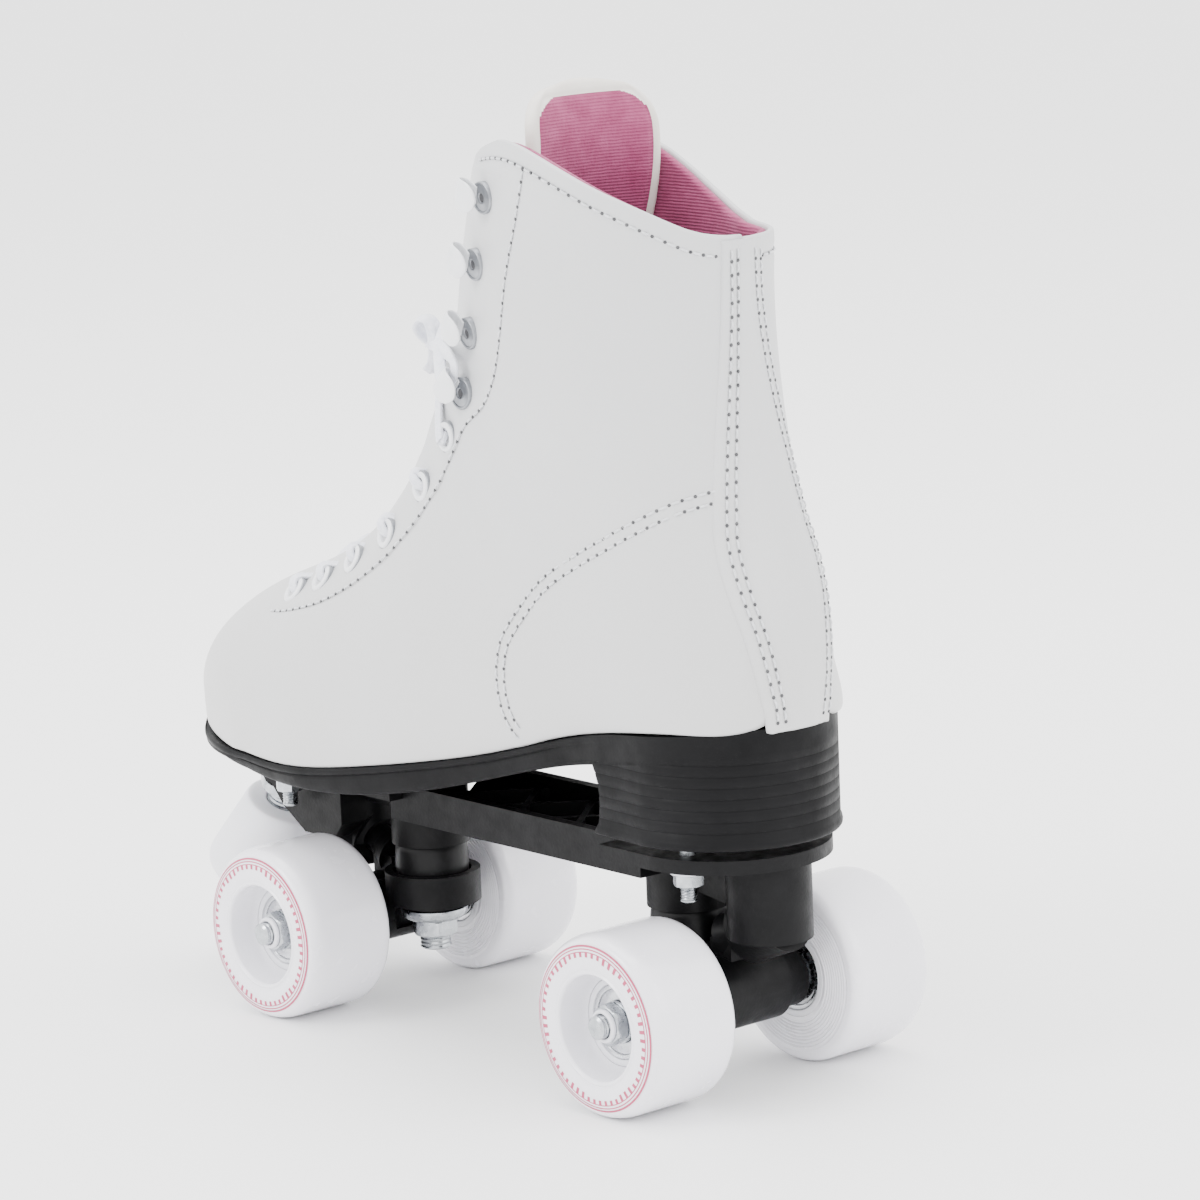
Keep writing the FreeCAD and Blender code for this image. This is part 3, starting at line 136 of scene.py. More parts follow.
class Shader:
    """A Principled material whose nodes are added in a few words."""

    def __init__(self, name, roughness, metallic=0.0, coat=0.0, sheen=0.0, subsurface=0.0):
        self.material = bpy.data.materials.new(name)
        self.material.use_nodes = True
        self.tree = self.material.node_tree
        self.main = self.tree.nodes["Principled BSDF"]
        self.main.inputs["Roughness"].default_value = roughness
        self.main.inputs["Metallic"].default_value = metallic
        self.main.inputs["Coat Weight"].default_value = coat
        self.main.inputs["Coat Roughness"].default_value = 0.12
        self.main.inputs["Sheen Weight"].default_value = sheen
        self.main.inputs["Subsurface Weight"].default_value = subsurface
        self.main.inputs["Subsurface Scale"].default_value = 0.004
        self.places = self.node("ShaderNodeTexCoord").outputs["Object"]

    def node(self, kind, **inputs):
        made = self.tree.nodes.new(kind)
        for name, value in inputs.items():
            made.inputs[name.replace("_", " ")].default_value = value
        return made

    def link(self, output, target):
        self.tree.links.new(output, target)

    def noise(self, scale, detail=3.0, roughness=0.55):
        made = self.node("ShaderNodeTexNoise", Scale=scale, Detail=detail, Roughness=roughness)
        self.link(self.places, made.inputs["Vector"])
        return made.outputs["Fac"]

    def cells(self, scale):
        made = self.node("ShaderNodeTexVoronoi", Scale=scale)
        self.link(self.places, made.inputs["Vector"])
        return made.outputs["Distance"]

    def waves(self, scale, direction="Z", distortion=0.0):
        made = self.node("ShaderNodeTexWave", Scale=scale, Distortion=distortion)
        made.bands_direction = direction
        self.link(self.places, made.inputs["Vector"])
        return made.outputs["Fac"]

    def spread(self, value, low, high, from_low=0.3, from_high=0.7):
        """The value stretched from one range to another."""
        made = self.tree.nodes.new("ShaderNodeMapRange")
        for name, number in (("From Min", from_low), ("From Max", from_high), ("To Min", low),
                             ("To Max", high)):
            made.inputs[name].default_value = number
        self.link(value, made.inputs["Value"])
        return made.outputs["Result"]

    def maths(self, operation, first, second):
        made = self.tree.nodes.new("ShaderNodeMath")
        made.operation = operation
        for socket, value in zip(made.inputs, (first, second)):
            if isinstance(value, (int, float)):
                socket.default_value = value
            else:
                self.link(value, socket)
        return made.outputs["Value"]

    def mixed(self, factor, first, second):
        """A colour between two, each a triple or another node's output."""
        made = self.tree.nodes.new("ShaderNodeMix")
        made.data_type = "RGBA"
        self.link(factor, made.inputs[0])
        for socket, value in ((made.inputs[6], first), (made.inputs[7], second)):
            if isinstance(value, tuple):
                socket.default_value = value + (1.0,)
            else:
                self.link(value, socket)
        return made.outputs[2]

    def colour(self, output):
        self.link(output, self.main.inputs["Base Color"])

    def rough(self, output):
        self.link(output, self.main.inputs["Roughness"])

    def bump(self, height, distance, strength=1.0):
        """Relief: the distance is the height in metres of a full step of the value."""
        made = self.node("ShaderNodeBump", Strength=strength, Distance=distance)
        self.link(height, made.inputs["Height"])
        previous = self.main.inputs["Normal"].links
        if previous:
            self.link(previous[0].from_socket, made.inputs["Normal"])
        self.link(made.outputs["Normal"], self.main.inputs["Normal"])


def leather_material():
    """White coated leather: fine grain, and painted shade low down in a slightly warm grey, broken up by
    noise.
    """
    s = Shader("white_leather", 0.42, coat=0.08)
    tone = s.spread(s.noise(14, 4), 0.0, 1.0)
    base = s.mixed(tone, (0.545, 0.55, 0.558), (0.515, 0.518, 0.524))
    height = s.tree.nodes.new("ShaderNodeSeparateXYZ")
    s.link(s.places, height.inputs[0])
    # Painted shade: the colour darkens to a slightly warm grey towards the bottom of the boot, in patches.
    low = s.spread(height.outputs["Z"], 0.55, 0.0, 0.08, 0.20)
    s.colour(s.mixed(s.maths("MULTIPLY", low, s.spread(s.noise(25, 5), 0.3, 1.0)), base, (0.50, 0.49, 0.47)))
    s.rough(s.spread(s.noise(60, 3), 0.36, 0.5))
    s.bump(s.cells(1500), 0.00006, 0.5)
    s.bump(s.noise(420, 4), 0.00009, 0.6)
    return s.material


def material(name, roughness, tones, grain, relief=(), rough=None, sockets=(), **finish):
    """Two tones mixed by noise. relief: kind, its settings, height in metres and strength of each layer.
    rough: scale and detail of the noise that the roughness follows, then its range."""
    s = Shader(name, roughness, **finish)
    s.colour(s.mixed(s.spread(s.noise(*grain), 0, 1), *tones))
    for socket, value in sockets:
        s.main.inputs[socket].default_value = value
    if rough:
        s.rough(s.spread(s.noise(*rough[:2]), *rough[2:]))
    for kind, settings, distance, strength in relief:
        s.bump(getattr(s, kind)(*settings), distance, strength)
    return s.material


LEATHER = leather_material()
# Pink brushed knit with fine ribs and a soft pile.
LINING = material(
    "pink_lining", 0.9, ((0.24, 0.030, 0.095), (0.33, 0.060, 0.15)), (160, 5), sheen=0.15,
    relief=[("waves", (330, "Z", 1.2), 0.00025, 0.7), ("noise", (900, 4), 0.0003, 0.7)],
    sockets=[("Sheen Roughness", 0.5), ("Sheen Tint", (1.0, 0.75, 0.88, 1.0))])
BINDING = material(
    "cream_binding", 0.55, ((0.74, 0.71, 0.66), (0.66, 0.62, 0.57)), (90, 4), sheen=0.1,
    relief=[("noise", (700, 4), 0.00012, 0.7)])
THREAD = material(
    "white_thread", 0.7, ((0.72, 0.73, 0.75), (0.58, 0.59, 0.61)), (900, 2), sheen=0.2,
    relief=[("waves", (900, "DIAGONAL"), 0.0001, 0.8)])
# Near-black painted shade for the needle holes, the eyelets' bores and the hooks' rivet holes.
PAINTED_HOLE_SHADE = material(
    "hole_painted_shade", 0.9, ((0.05, 0.05, 0.055), (0.11, 0.11, 0.115)), (500, 2),
    relief=[("noise", (900, 2), 0.0001, 1.0)])
# Flat woven cotton, slightly bluish.
LACE = material(
    "white_lace", 0.85, ((0.80, 0.81, 0.86), (0.70, 0.72, 0.79)), (500, 4), sheen=0.35,
    relief=[("noise", (1500, 3), 0.0002, 0.8)])
# The low specular level of the three black materials makes them matt.
# Black moulded rubber with a dull skin and faint rubbing.
SOLE = material(
    "black_sole", 0.5, ((0.002, 0.002, 0.0023), (0.005, 0.005, 0.0056)), (45, 5),
    rough=(120, 4, 0.42, 0.62), sockets=[("Specular IOR Level", 0.1)],
    relief=[("noise", (900, 4), 0.00008, 0.7)])
# Black glass-filled nylon: matt, finely pitted, paler where it is rubbed.
NYLON = material(
    "black_nylon", 0.45, ((0.002, 0.002, 0.0023), (0.005, 0.005, 0.0056)), (60, 5),
    rough=(200, 4, 0.36, 0.56), sockets=[("Specular IOR Level", 0.12)],
    relief=[("cells", (900,), 0.00006, 0.5), ("noise", (1400, 3), 0.00006, 0.6)])
CUSHION = material(
    "black_cushion", 0.38, ((0.002, 0.002, 0.0023), (0.006, 0.006, 0.0066)), (90, 4),
    sockets=[("Specular IOR Level", 0.16)], relief=[("noise", (500, 4), 0.0001, 0.6)])
# White cast urethane, milky under a gloss skin.
URETHANE = material(
    "white_wheel", 0.2, ((0.84, 0.83, 0.88), (0.80, 0.79, 0.84)), (30, 4), coat=0.5, subsurface=0.12,
    rough=(120, 4, 0.16, 0.3), sockets=[("Subsurface Radius", (1.0, 0.9, 1.0))],
    relief=[("noise", (300, 3), 0.00003, 0.4)])
HUB = material(
    "wheel_hub", 0.3, ((0.78, 0.78, 0.82), (0.73, 0.73, 0.77)), (60, 3), coat=0.2,
    relief=[("noise", (600, 3), 0.00004, 0.5)])
PRINT = material(
    "pink_print", 0.35, ((0.40, 0.035, 0.10), (0.47, 0.06, 0.14)), (900, 3),
    relief=[("noise", (1200, 2), 0.00002, 0.4)])
STOP = material(
    "white_stop", 0.5, ((0.80, 0.80, 0.84), (0.74, 0.74, 0.78)), (50, 4), subsurface=0.05,
    relief=[("noise", (500, 4), 0.00008, 0.6)])
# Zinc plate: bright, faintly blue, with small spangles and handling marks.
ZINC = material(
    "zinc_steel", 0.25, ((0.50, 0.52, 0.54), (0.34, 0.36, 0.38)), (350, 4), metallic=1.0,
    rough=(500, 5, 0.18, 0.42), relief=[("noise", (1300, 3), 0.00003, 0.6)])
BEARING = material(
    "bearing_steel", 0.2, ((0.60, 0.61, 0.63), (0.48, 0.49, 0.51)), (200, 4), metallic=1.0,
    rough=(700, 3, 0.14, 0.34), relief=[("noise", (1500, 2), 0.00002, 0.5)])
# White enamel on the lace hooks and eyelets.
ENAMEL = material(
    "white_enamel", 0.25, ((0.80, 0.81, 0.83), (0.74, 0.75, 0.77)), (120, 3), coat=0.4,
    relief=[("noise", (700, 2), 0.00003, 0.5)])
# Bare nickelled face that shows at a hook's foot and round each eyelet.
GREY = material(
    "grey_metal", 0.35, ((0.30, 0.31, 0.33), (0.20, 0.21, 0.23)), (300, 3), metallic=0.7,
    relief=[("noise", (900, 2), 0.00004, 0.5)])
BOARD = material(
    "counter_board", 0.85, ((0.62, 0.55, 0.45), (0.52, 0.45, 0.36)), (300, 5),
    relief=[("noise", (900, 5), 0.0002, 0.8)])

CAD_LOOKS = {"plate": NYLON, "hanger": NYLON, "pivot_cup": CUSHION, "cushion_upper": CUSHION,
             "cushion_lower": CUSHION, "heel_counter": BOARD, "hub": HUB, "bearing": BEARING}


def look_of(node):
    for start, material in CAD_LOOKS.items():
        if node.startswith(start) and not node.startswith("plate_"):
            return material
    return ZINC


for node_name, node_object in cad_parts.items():
    node_object.data.materials.clear()
    node_object.data.materials.append(look_of(node_name))


# ---------------------------------------------------------------- mesh helpers

def piece(name, points, faces, materials, body="root", face_materials=None, replaces=(), slot=None,
          smooth=True, sharp=None, bend=None):
    """A mesh of the skate's own frame as a piece that rides on a body. With bend it stays where it is
    and rides on no body. sharp: the angle past which its edges look sharp."""
    mesh = bpy.data.meshes.new(name)
    mesh.from_pydata(metres(points).tolist(), [], [tuple(face) for face in faces])
    made = bpy.data.objects.new(name, mesh)
    bpy.context.scene.collection.objects.link(made)
    for material in materials if isinstance(materials, (list, tuple)) else [materials]:
        mesh.materials.append(material)
    if face_materials is not None:
        mesh.polygons.foreach_set("material_index", np.asarray(face_materials, np.int32))
    mesh.polygons.foreach_set("use_smooth", np.full(len(mesh.polygons), smooth))
    mesh.validate()
    mesh.update()
    if bend is None:
        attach(made, body)
    else:
        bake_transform(made)
    if replaces:
        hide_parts(*replaces)
    if sharp:
        sharpen(made, sharp)
    return made


def sharpen(made, degrees):
    """Shade a piece smooth only across gentle edges."""
    made.data.set_sharp_from_angle(angle=math.radians(degrees))


class Build:
    """Points and faces of several patches, collected for one piece."""

    def __init__(self):
        self.points = []
        self.faces = []
        self.looks = []
        self.count = 0

    def add(self, points, faces, look=0):
        points = np.asarray(points, float).reshape(-1, 3)
        self.points.append(points)
        self.faces += [tuple(int(i) + self.count for i in face) for face in faces]
        self.looks += [look] * len(faces)
        self.count += len(points)

    def piece(self, name, materials, **options):
        return piece(name, np.vstack(self.points), self.faces, materials, face_materials=self.looks,
                     **options)


def grid_faces(rows, columns, closed_rows=False, closed_columns=False, flip=False):
    """Quads of a grid of points in row order, wrapping round where it is closed."""
    faces = []
    for i in range(rows if closed_rows else rows - 1):
        for j in range(columns if closed_columns else columns - 1):
            i2 = (i + 1) % rows
            j2 = (j + 1) % columns
            face = (i * columns + j, i * columns + j2, i2 * columns + j2, i2 * columns + j)
            faces.append(face[::-1] if flip else face)
    return faces


def unit(vectors):
    vectors = np.asarray(vectors, float)
    return vectors / np.maximum(np.linalg.norm(vectors, axis=-1, keepdims=True), 1e-12)


def spline(values):
    """A natural cubic spline through rows of values at 0, 1, 2 and so on."""
    values = np.asarray(values, float)
    count = len(values)
    system = np.eye(count)
    for i in range(1, count - 1):
        system[i, i - 1:i + 2] = (1, 4, 1)
    bend = np.zeros_like(values)
    bend[1:-1] = 6 * (values[2:] - 2 * values[1:-1] + values[:-2])
    curve = np.linalg.solve(system, bend)

    def at(place):
        place = np.clip(np.asarray(place, float), 0, count - 1)
        i = np.minimum(place.astype(int), count - 2)
        f = (place - i)[..., None] if values.ndim > 1 else place - i
        return (values[i] * (1 - f) + values[i + 1] * f + ((1 - f) ** 3 - (1 - f)) * curve[i] / 6
                + (f ** 3 - f) * curve[i + 1] / 6)
    return at


def smooth_path(points, step):
    """Points about a step apart along a spline through a few points."""
    points = np.asarray(points, float)
    dense = spline(points)(np.linspace(0, len(points) - 1, 60 * len(points)))
    return even(dense, step)


def even(points, step):
    """The same path with points about a step apart."""
    along = np.concatenate([[0], np.cumsum(np.linalg.norm(np.diff(points, axis=0), axis=1))])
    at = np.linspace(0, along[-1], max(2, int(round(along[-1] / step)) + 1))
    return np.stack([np.interp(at, along, points[:, k]) for k in range(points.shape[1])], axis=1)


def softened(profile, radius, steps=4):
    """A closed outline with its corners rounded, each as far as its two sides allow."""
    profile = [np.array(p[:2], float) for p in profile]
    made = []
    for i, corner in enumerate(profile):
        before = profile[i - 1] - corner
        after = profile[(i + 1) % len(profile)] - corner
        reach = min(radius, 0.45 * np.linalg.norm(before), 0.45 * np.linalg.norm(after))
        start = corner + unit(before) * reach
        end = corner + unit(after) * reach
        for k in range(steps + 1):
            f = k / steps
            made.append(start * (1 - f) ** 2 + corner * 2 * f * (1 - f) + end * f * f)
    return np.array(made)


def axis_frame(axis):
    """Two directions square to an axis."""
    axis = unit(axis)
    helper = np.array((0, 0, 1.0)) if abs(axis[2]) < 0.9 else np.array((1.0, 0, 0))
    first = unit(np.cross(helper, axis))
    return first, np.cross(axis, first), axis


# Radius at which an outline starts and ends when it closes on the axis.
CORE = 0.01


def tube(inner, outer, start, end):
    """Outline of a plain ring or, from the core, of a rod."""
    return [(inner, start), (outer, start), (outer, end), (inner, end)]


def lathe(build, outline, centre, axis, segments=96, look=0, radius_at=None):
    """Turn a closed outline of (radius, distance along the axis) about an axis."""
    first, second, axis = axis_frame(axis)
    angles = np.arange(segments) * 2 * np.pi / segments
    ring = np.cos(angles)[:, None] * first + np.sin(angles)[:, None] * second
    rows = []
    for r, a in outline:
        reach = np.full(segments, float(r)) if radius_at is None else radius_at(r, a, angles)
        rows.append(np.asarray(centre) + ring * reach[:, None] + axis * a)
    build.add(np.concatenate(rows), grid_faces(len(outline), segments, True, True, flip=True), look)


def hex_nut(build, centre, axis, flats, height, bore, look=0, turn=0.0):
    """A hexagon nut with chamfered corners and a countersunk bore."""
    def radius_at(r, a, angles):
        if r < flats * 0.46:
            return np.full(len(angles), r)
        corner = (angles + turn) % (math.pi / 3) - math.pi / 6
        flat = flats / 2 / np.cos(corner)
        limit = flats * 0.475 + min(a, height - a) * 1.9
        return np.minimum(flat, limit)
    outline = [(bore, 0.6), (bore + 0.6, 0), (flats * 0.475, 0)]
    outline += [(flats / 2, h) for h in (0.15, 0.35, 0.6, height / 2, height - 0.6, height - 0.35,
                                         height - 0.15)]
    outline += [(flats * 0.475, height), (bore + 0.6, height), (bore, height - 0.6)]
    lathe(build, outline, centre, axis, 72, look, radius_at)


def threaded_rod(build, centre, axis, radius, length, pitch=1.0, look=0, segments=40):
    """A rod with a cut screw thread, rounded at its far end."""
    rows = int(length / pitch * 6)
    outline = [(CORE, 0)] + [(radius, length * i / rows) for i in range(rows + 1)]
    outline += [(radius - 0.7, length + 0.5), (CORE, length + 0.6)]

    def radius_at(r, a, angles):
        if r < radius - 0.1 or a > length - 0.4:
            return np.full(len(angles), r)
        phase = (a / pitch - angles / (2 * math.pi)) % 1
        return r - 0.32 * np.abs(2 * phase - 1)
    lathe(build, outline, centre, axis, segments, look, radius_at)


# ---------------------------------------------------------------- boot surface

# The same sections as the CAD boot: low x and z, high x and z, half width, widest share, fullness.
SECTIONS = [
    (152.0, 88.0, 152.0, 98.0, 0.0, 0.32, 0.50),
    (148.5, 87.0, 148.5, 107.0, 13.5, 0.32, 0.50),
    (140.5, 85.0, 140.5, 115.0, 25.0, 0.31, 0.50),
    (129.0, 82.5, 129.0, 122.5, 33.0, 0.30, 0.50),
    (114.0, 80.5, 115.0, 129.5, 38.8, 0.28, 0.50),
    (97.0, 79.5, 99.5, 135.5, 42.8, 0.26, 0.53),
    (77.0, 79.5, 83.5, 142.5, 45.0, 0.24, 0.57),
    (56.0, 81.5, 69.0, 151.5, 45.0, 0.22, 0.62),
    (33.0, 85.0, 57.0, 162.5, 43.2, 0.22, 0.65),
    (8.0, 89.5, 47.5, 175.0, 40.0, 0.24, 0.64),
    (-18.0, 95.5, 41.0, 187.5, 37.5, 0.27, 0.61),
    (-45.0, 103.0, 36.5, 199.0, 36.5, 0.30, 0.58),
    (-70.0, 107.5, 33.0, 209.0, 36.5, 0.33, 0.55),
    (-91.0, 109.5, 30.0, 218.0, 36.3, 0.37, 0.53),
    (-107.5, 110.9, 27.0, 226.0, 35.6, 0.40, 0.52),
    (-110.3, 125.0, 24.0, 233.5, 35.3, 0.42, 0.51),
    (-106.5, 148.0, 21.0, 241.0, 35.2, 0.44, 0.50),
    (-100.5, 172.0, 18.0, 248.5, 35.2, 0.45, 0.50),
    (-95.5, 198.0, 14.5, 256.5, 35.5, 0.45, 0.50),
    (-93.0, 223.0, 11.0, 265.0, 36.2, 0.45, 0.50),
    (-93.0, 247.0, 7.0, 274.0, 37.2, 0.45, 0.50),
    (-94.5, 268.0, 3.0, 283.0, 38.2, 0.45, 0.50),
]
LAST = len(SECTIONS) - 1
HEEL_TURN = 16.6
HEEL_CENTRE = -78.0
HEEL_R = 33.0
TOE_START = 100.0
TOE_LENGTH = 52.5
TOE_HALF = 41.0
SECTION_AT = spline(SECTIONS)
SOLE_X = np.array([-78, -50, -20, 10, 40, 70, 100], float)
SOLE_HALF = spline([33, 31.5, 32.5, 37, 42.5, 44.5, 41])


def sole_half(x):
    """Half width of the sole on the outer side of the foot."""
    x = np.asarray(x, float)
    side = SOLE_HALF(np.interp(x, SOLE_X, np.arange(len(SOLE_X))))
    heel = np.sqrt(np.maximum(HEEL_R ** 2 - (HEEL_CENTRE - x) ** 2, 0))
    share = np.clip((x - TOE_START) / TOE_LENGTH, 0, 1)
    toe = TOE_HALF * np.sqrt(1 - share ** 2.3)
    return np.where(x < HEEL_CENTRE, heel, np.where(x > TOE_START, toe, side))


def inner_side_gain(x):
    """How much fuller the big-toe side is than the outer side."""
    ball = np.clip((np.asarray(x, float) - 20) / 90, 0, 1)
    arch = np.exp(-((np.asarray(x, float) + 5) / 30) ** 2)
    return 1 + 0.12 * ball * ball * (3 - 2 * ball) - 0.05 * arch


def inner_side_pinch(t, share):
    """How much slimmer the top of the boot is on the big-toe side."""
    rise = np.clip((t - 13) / 7, 0, 1)
    middle = np.clip(share / 0.2, 0, 1)
    return 1 - 0.34 * rise * rise * (3 - 2 * rise) * middle * middle * (3 - 2 * middle) * (1 - share)


def boot_points(t, share, side, inset=0.0):
    """Points of the boot's surface: t counts sections, share goes from the low to the high line."""
    t, share = np.broadcast_arrays(np.asarray(t, float), np.asarray(share, float))
    section = SECTION_AT(t)
    low = section[..., 0:2]
    high = section[..., 2:4]
    up = unit(high - low)
    low = low + up * inset
    high = high - up * inset
    half = section[..., 4] - inset
    widest = section[..., 5]
    fullness = section[..., 6]
    flat = np.clip((HEEL_TURN - t) / 2, 0, 1)
    foot = np.maximum(np.minimum(sole_half(low[..., 0]), section[..., 4]) * 0.985 * flat - inset, 0)
    rise = np.clip((share - widest) / (1 - widest), 0, 1)
    fall = np.clip((widest - share) / widest, 0, 1)
    above = half * (1 - rise ** 2) ** fullness
    below = foot + (half - foot) * np.sqrt(np.maximum(1 - fall ** 2.2, 0))
    width = np.maximum(np.where(share > widest, above, below), 0)
    slim = (1 + (inner_side_gain(low[..., 0]) - 1) * (1 - share)) * inner_side_pinch(t, share)
    gain = np.where(np.asarray(side) < 0, slim, 1.0)
    middle = low + (high - low) * share[..., None]
    return np.stack([middle[..., 0], side * width * gain, middle[..., 1]], axis=-1)


def boot_normal(t, share, side):
    """Outward normal of the surface."""
    t, share = np.broadcast_arrays(np.asarray(t, float), np.asarray(share, float))
    along = boot_points(t + 0.04, share, side) - boot_points(t - 0.04, share, side)
    across = boot_points(t, np.minimum(share + 0.004, 1), side)
    across = across - boot_points(t, np.maximum(share - 0.004, 0), side)
    return unit(np.cross(along, across)) * np.asarray(side)[..., None]


COLLAR_BACK = [(-140, 243), (-103, 246), (-92.5, 246.8)]
# The collar's side view, by side: 1 is the outer side and -1 is the big-toe side.
COLLAR_LINES = {
    1: COLLAR_BACK + [
        (-90.5, 248.8), (-85.5, 253.2), (-79, 257.8), (-70, 262.5), (-58.7, 268), (-48, 272.2), (-39, 274.8),
        (-30, 275.7), (-20, 274.8), (-8, 272.4), (30, 268)],
    -1: COLLAR_BACK + [
        (-90, 247.2), (-76, 248.6), (-63, 251), (-50, 256.4), (-36, 263.8), (-25.6, 269.2), (-12, 272),
        (30, 272.5)],
}
COLLAR_EASE = 14.0


def collar_height(x, side):
    """The collar's height at x on one side, dipping from the shin to the heel."""
    line = np.array(COLLAR_LINES[side], float)
    return sum(np.interp(x + d, line[:, 0], line[:, 1]) for d in (-4, -2, 0, 2, 4)) / 5


def collar_section(share, side, drop=0.0):
    """Where a line of equal share meets the collar, as a section count."""
    low = np.full_like(np.asarray(share, float), 17.0)
    high = np.full_like(low, float(LAST))
    for step in range(26):
        middle = (low + high) / 2
        point = boot_points(middle, share, side)
        above = point[..., 2] > collar_height(point[..., 0], side) - drop
        high = np.where(above, middle, high)
        low = np.where(above, low, middle)
    return (low + high) / 2


def eased(t, share, side, drop=0.0):
    """Sections squeezed near the top so that the last one is the collar line."""
    top = collar_section(share, side, drop)
    squeeze = (top - COLLAR_EASE) / (LAST - COLLAR_EASE)
    return np.where(t > COLLAR_EASE, COLLAR_EASE + (t - COLLAR_EASE) * squeeze, t)


SLOT_Z = np.array([133.2, 133.5, 134.2, 135.2, 136.5, 152, 186, 240, 258, 265, 269, 272, 276])
SLOT_HALF = np.array([0, 3.6, 6.6, 8.6, 9.6, 14, 17.5, 20, 21.6, 23.4, 26.2, 30, 36])


def slot_half(z, grow):
    half = np.interp(z, SLOT_Z, SLOT_HALF)
    return np.where(z > SLOT_Z[0], half + grow * np.minimum(half / 4, 1), 0)


def slot_edge(t, side, grow=0.0, drop=0.0):
    """Share at which the surface reaches the lacing slot's edge, or 1 where it is closed."""
    share = np.linspace(0.3, 1, 700)
    edges = []
    for station in np.atleast_1d(t):
        points = boot_points(eased(station, share, side, drop), share, side)
        open_here = np.abs(points[:, 1]) < slot_half(points[:, 2], grow)
        hit = np.argmax(open_here) if open_here.any() else -1
        if hit <= 0:
            edges.append(1.0)
            continue
        gap = np.abs(points[:, 1]) - slot_half(points[:, 2], grow)
        f = gap[hit - 1] / (gap[hit - 1] - gap[hit])
        edges.append(share[hit - 1] + f * (share[hit] - share[hit - 1]))
    return np.array(edges)


STATIONS = np.concatenate([np.linspace(0, 0.9, 12), np.linspace(1.0, 4.5, 44), np.linspace(4.53, 5.1, 26),
                           np.linspace(5.15, 21, 250)])
ACROSS = 92


def boot_half(side, outer, inner, grow, drop, relief):
    """One side of a boot layer as a grid: outer face, three points round its edge, inner face."""
    edge = slot_edge(STATIONS, side, grow, drop)
    opened = edge < 0.9999
    spacing = (1 - np.cos(np.linspace(0, math.pi, ACROSS))) / 2
    spacing = 0.55 * spacing + 0.45 * np.linspace(0, 1, ACROSS)
    share = spacing[None, :] * edge[:, None]
    t = eased(STATIONS[:, None] * np.ones_like(share), share, side, drop)
    face = boot_points(t, share, side)
    normal = boot_normal(t, share, side)
    normal[:, -1] = np.where(opened[:, None], normal[:, -1], unit(normal[:, -1] * (1, 0, 1)))
    normal[0] = (1, 0, 0)
    outside = face - normal * outer + normal * relief(face)[..., None]
    inside = face - normal * inner
    outside[..., 1] = np.where((outside[..., 1] * side < 0), 0, outside[..., 1])
    inside[..., 1] = np.where((inside[..., 1] * side < 0), 0, inside[..., 1])
    outside[~opened, -1, 1] = 0
    inside[~opened, -1, 1] = 0
    towards = unit(face[:, -1] - face[:, -3])
    middle = (outside[:, -1] + inside[:, -1]) / 2
    radius = np.linalg.norm(outside[:, -1] - inside[:, -1], axis=1, keepdims=True) / 2
    out = unit(outside[:, -1] - inside[:, -1])
    rim = [middle + out * radius * math.cos(a) + towards * radius * math.sin(a)
           for a in (math.pi / 4, math.pi / 2, 3 * math.pi / 4)]
    rim = np.where(opened[:, None, None], np.stack(rim, axis=1), np.stack([middle] * 3, axis=1))
    grid = np.concatenate([outside, rim, inside[:, ::-1]], axis=1)
    return grid, opened


def rounded_end(grid):
    """Extra rows that round a layer's last edge: half circles from its outer to its inner face."""
    last = grid[-1]
    previous = grid[-3]
    width = (grid.shape[1] - 3) // 2
    rows = []
    for a in (math.pi / 4, math.pi / 2):
        row = last.copy()
        for j in range(grid.shape[1]):
            k = grid.shape[1] - 1 - j
            middle = (last[j] + last[k]) / 2
            reach = np.linalg.norm(last[j] - last[k]) / 2
            out = unit(last[j] - last[k]) if reach > 1e-6 else np.zeros(3)
            up = unit((last[j] + last[k]) / 2 - (previous[j] + previous[k]) / 2)
            thick = max(reach, np.linalg.norm(last[0] - last[-1]) / 2
                        * (1 if width > j or j > width + 3 else 0.5))
            row[j] = middle + out * reach * math.cos(a) + up * thick * math.sin(a)
        rows.append(row)
    return np.concatenate([grid, np.stack(rows)])


def boot_layer(name, outer, inner, grow, drop, relief, materials, look_of_face=None, **options):
    """A whole layer of the boot: both sides joined along the closed part of the instep."""
    build = Build()
    for side in (1, -1):
        grid, opened = boot_half(side, outer, inner, grow, drop, relief)
        grid = rounded_end(grid)
        opened = np.concatenate([opened, [True, True]])
        rows, columns = grid.shape[:2]
        faces = []
        for i in range(rows - 1):
            for j in range(columns):
                if ACROSS - 1 <= j <= ACROSS + 2 and not (opened[i] or opened[i + 1]):
                    continue
                j2 = (j + 1) % columns
                face = (i * columns + j, i * columns + j2, (i + 1) * columns + j2, (i + 1) * columns + j)
                faces.append(face if side < 0 else face[::-1])
        build.add(grid, faces)
    made = build.piece(name, materials, **options)
    weld(made)
    return made


def weld(made, distance=0.02):
    """Join points that lie on each other, and drop faces that have no area."""
    work = bmesh.new()
    work.from_mesh(made.data)
    bmesh.ops.remove_doubles(work, verts=work.verts, dist=distance * MM)
    bmesh.ops.dissolve_degenerate(work, edges=work.edges, dist=distance * MM / 4)
    loose = [v for v in work.verts if not v.link_faces]
    bmesh.ops.delete(work, geom=loose, context="VERTS")
    work.to_mesh(made.data)
    work.free()
    made.data.update()


# ---------------------------------------------------------------- seam lines on the boot

# The curved double seam of the heel counter, from the back strip down to the sole.
COUNTER_SEAM = [(-96, 178.2), (-88.7, 175.5), (-78.6, 169.9), (-65.1, 162.7), (-45.6, 152.1), (-33, 141.4),
                (-23, 129.7), (-20.3, 117.4), (-22, 106.9), (-27, 99.0)]
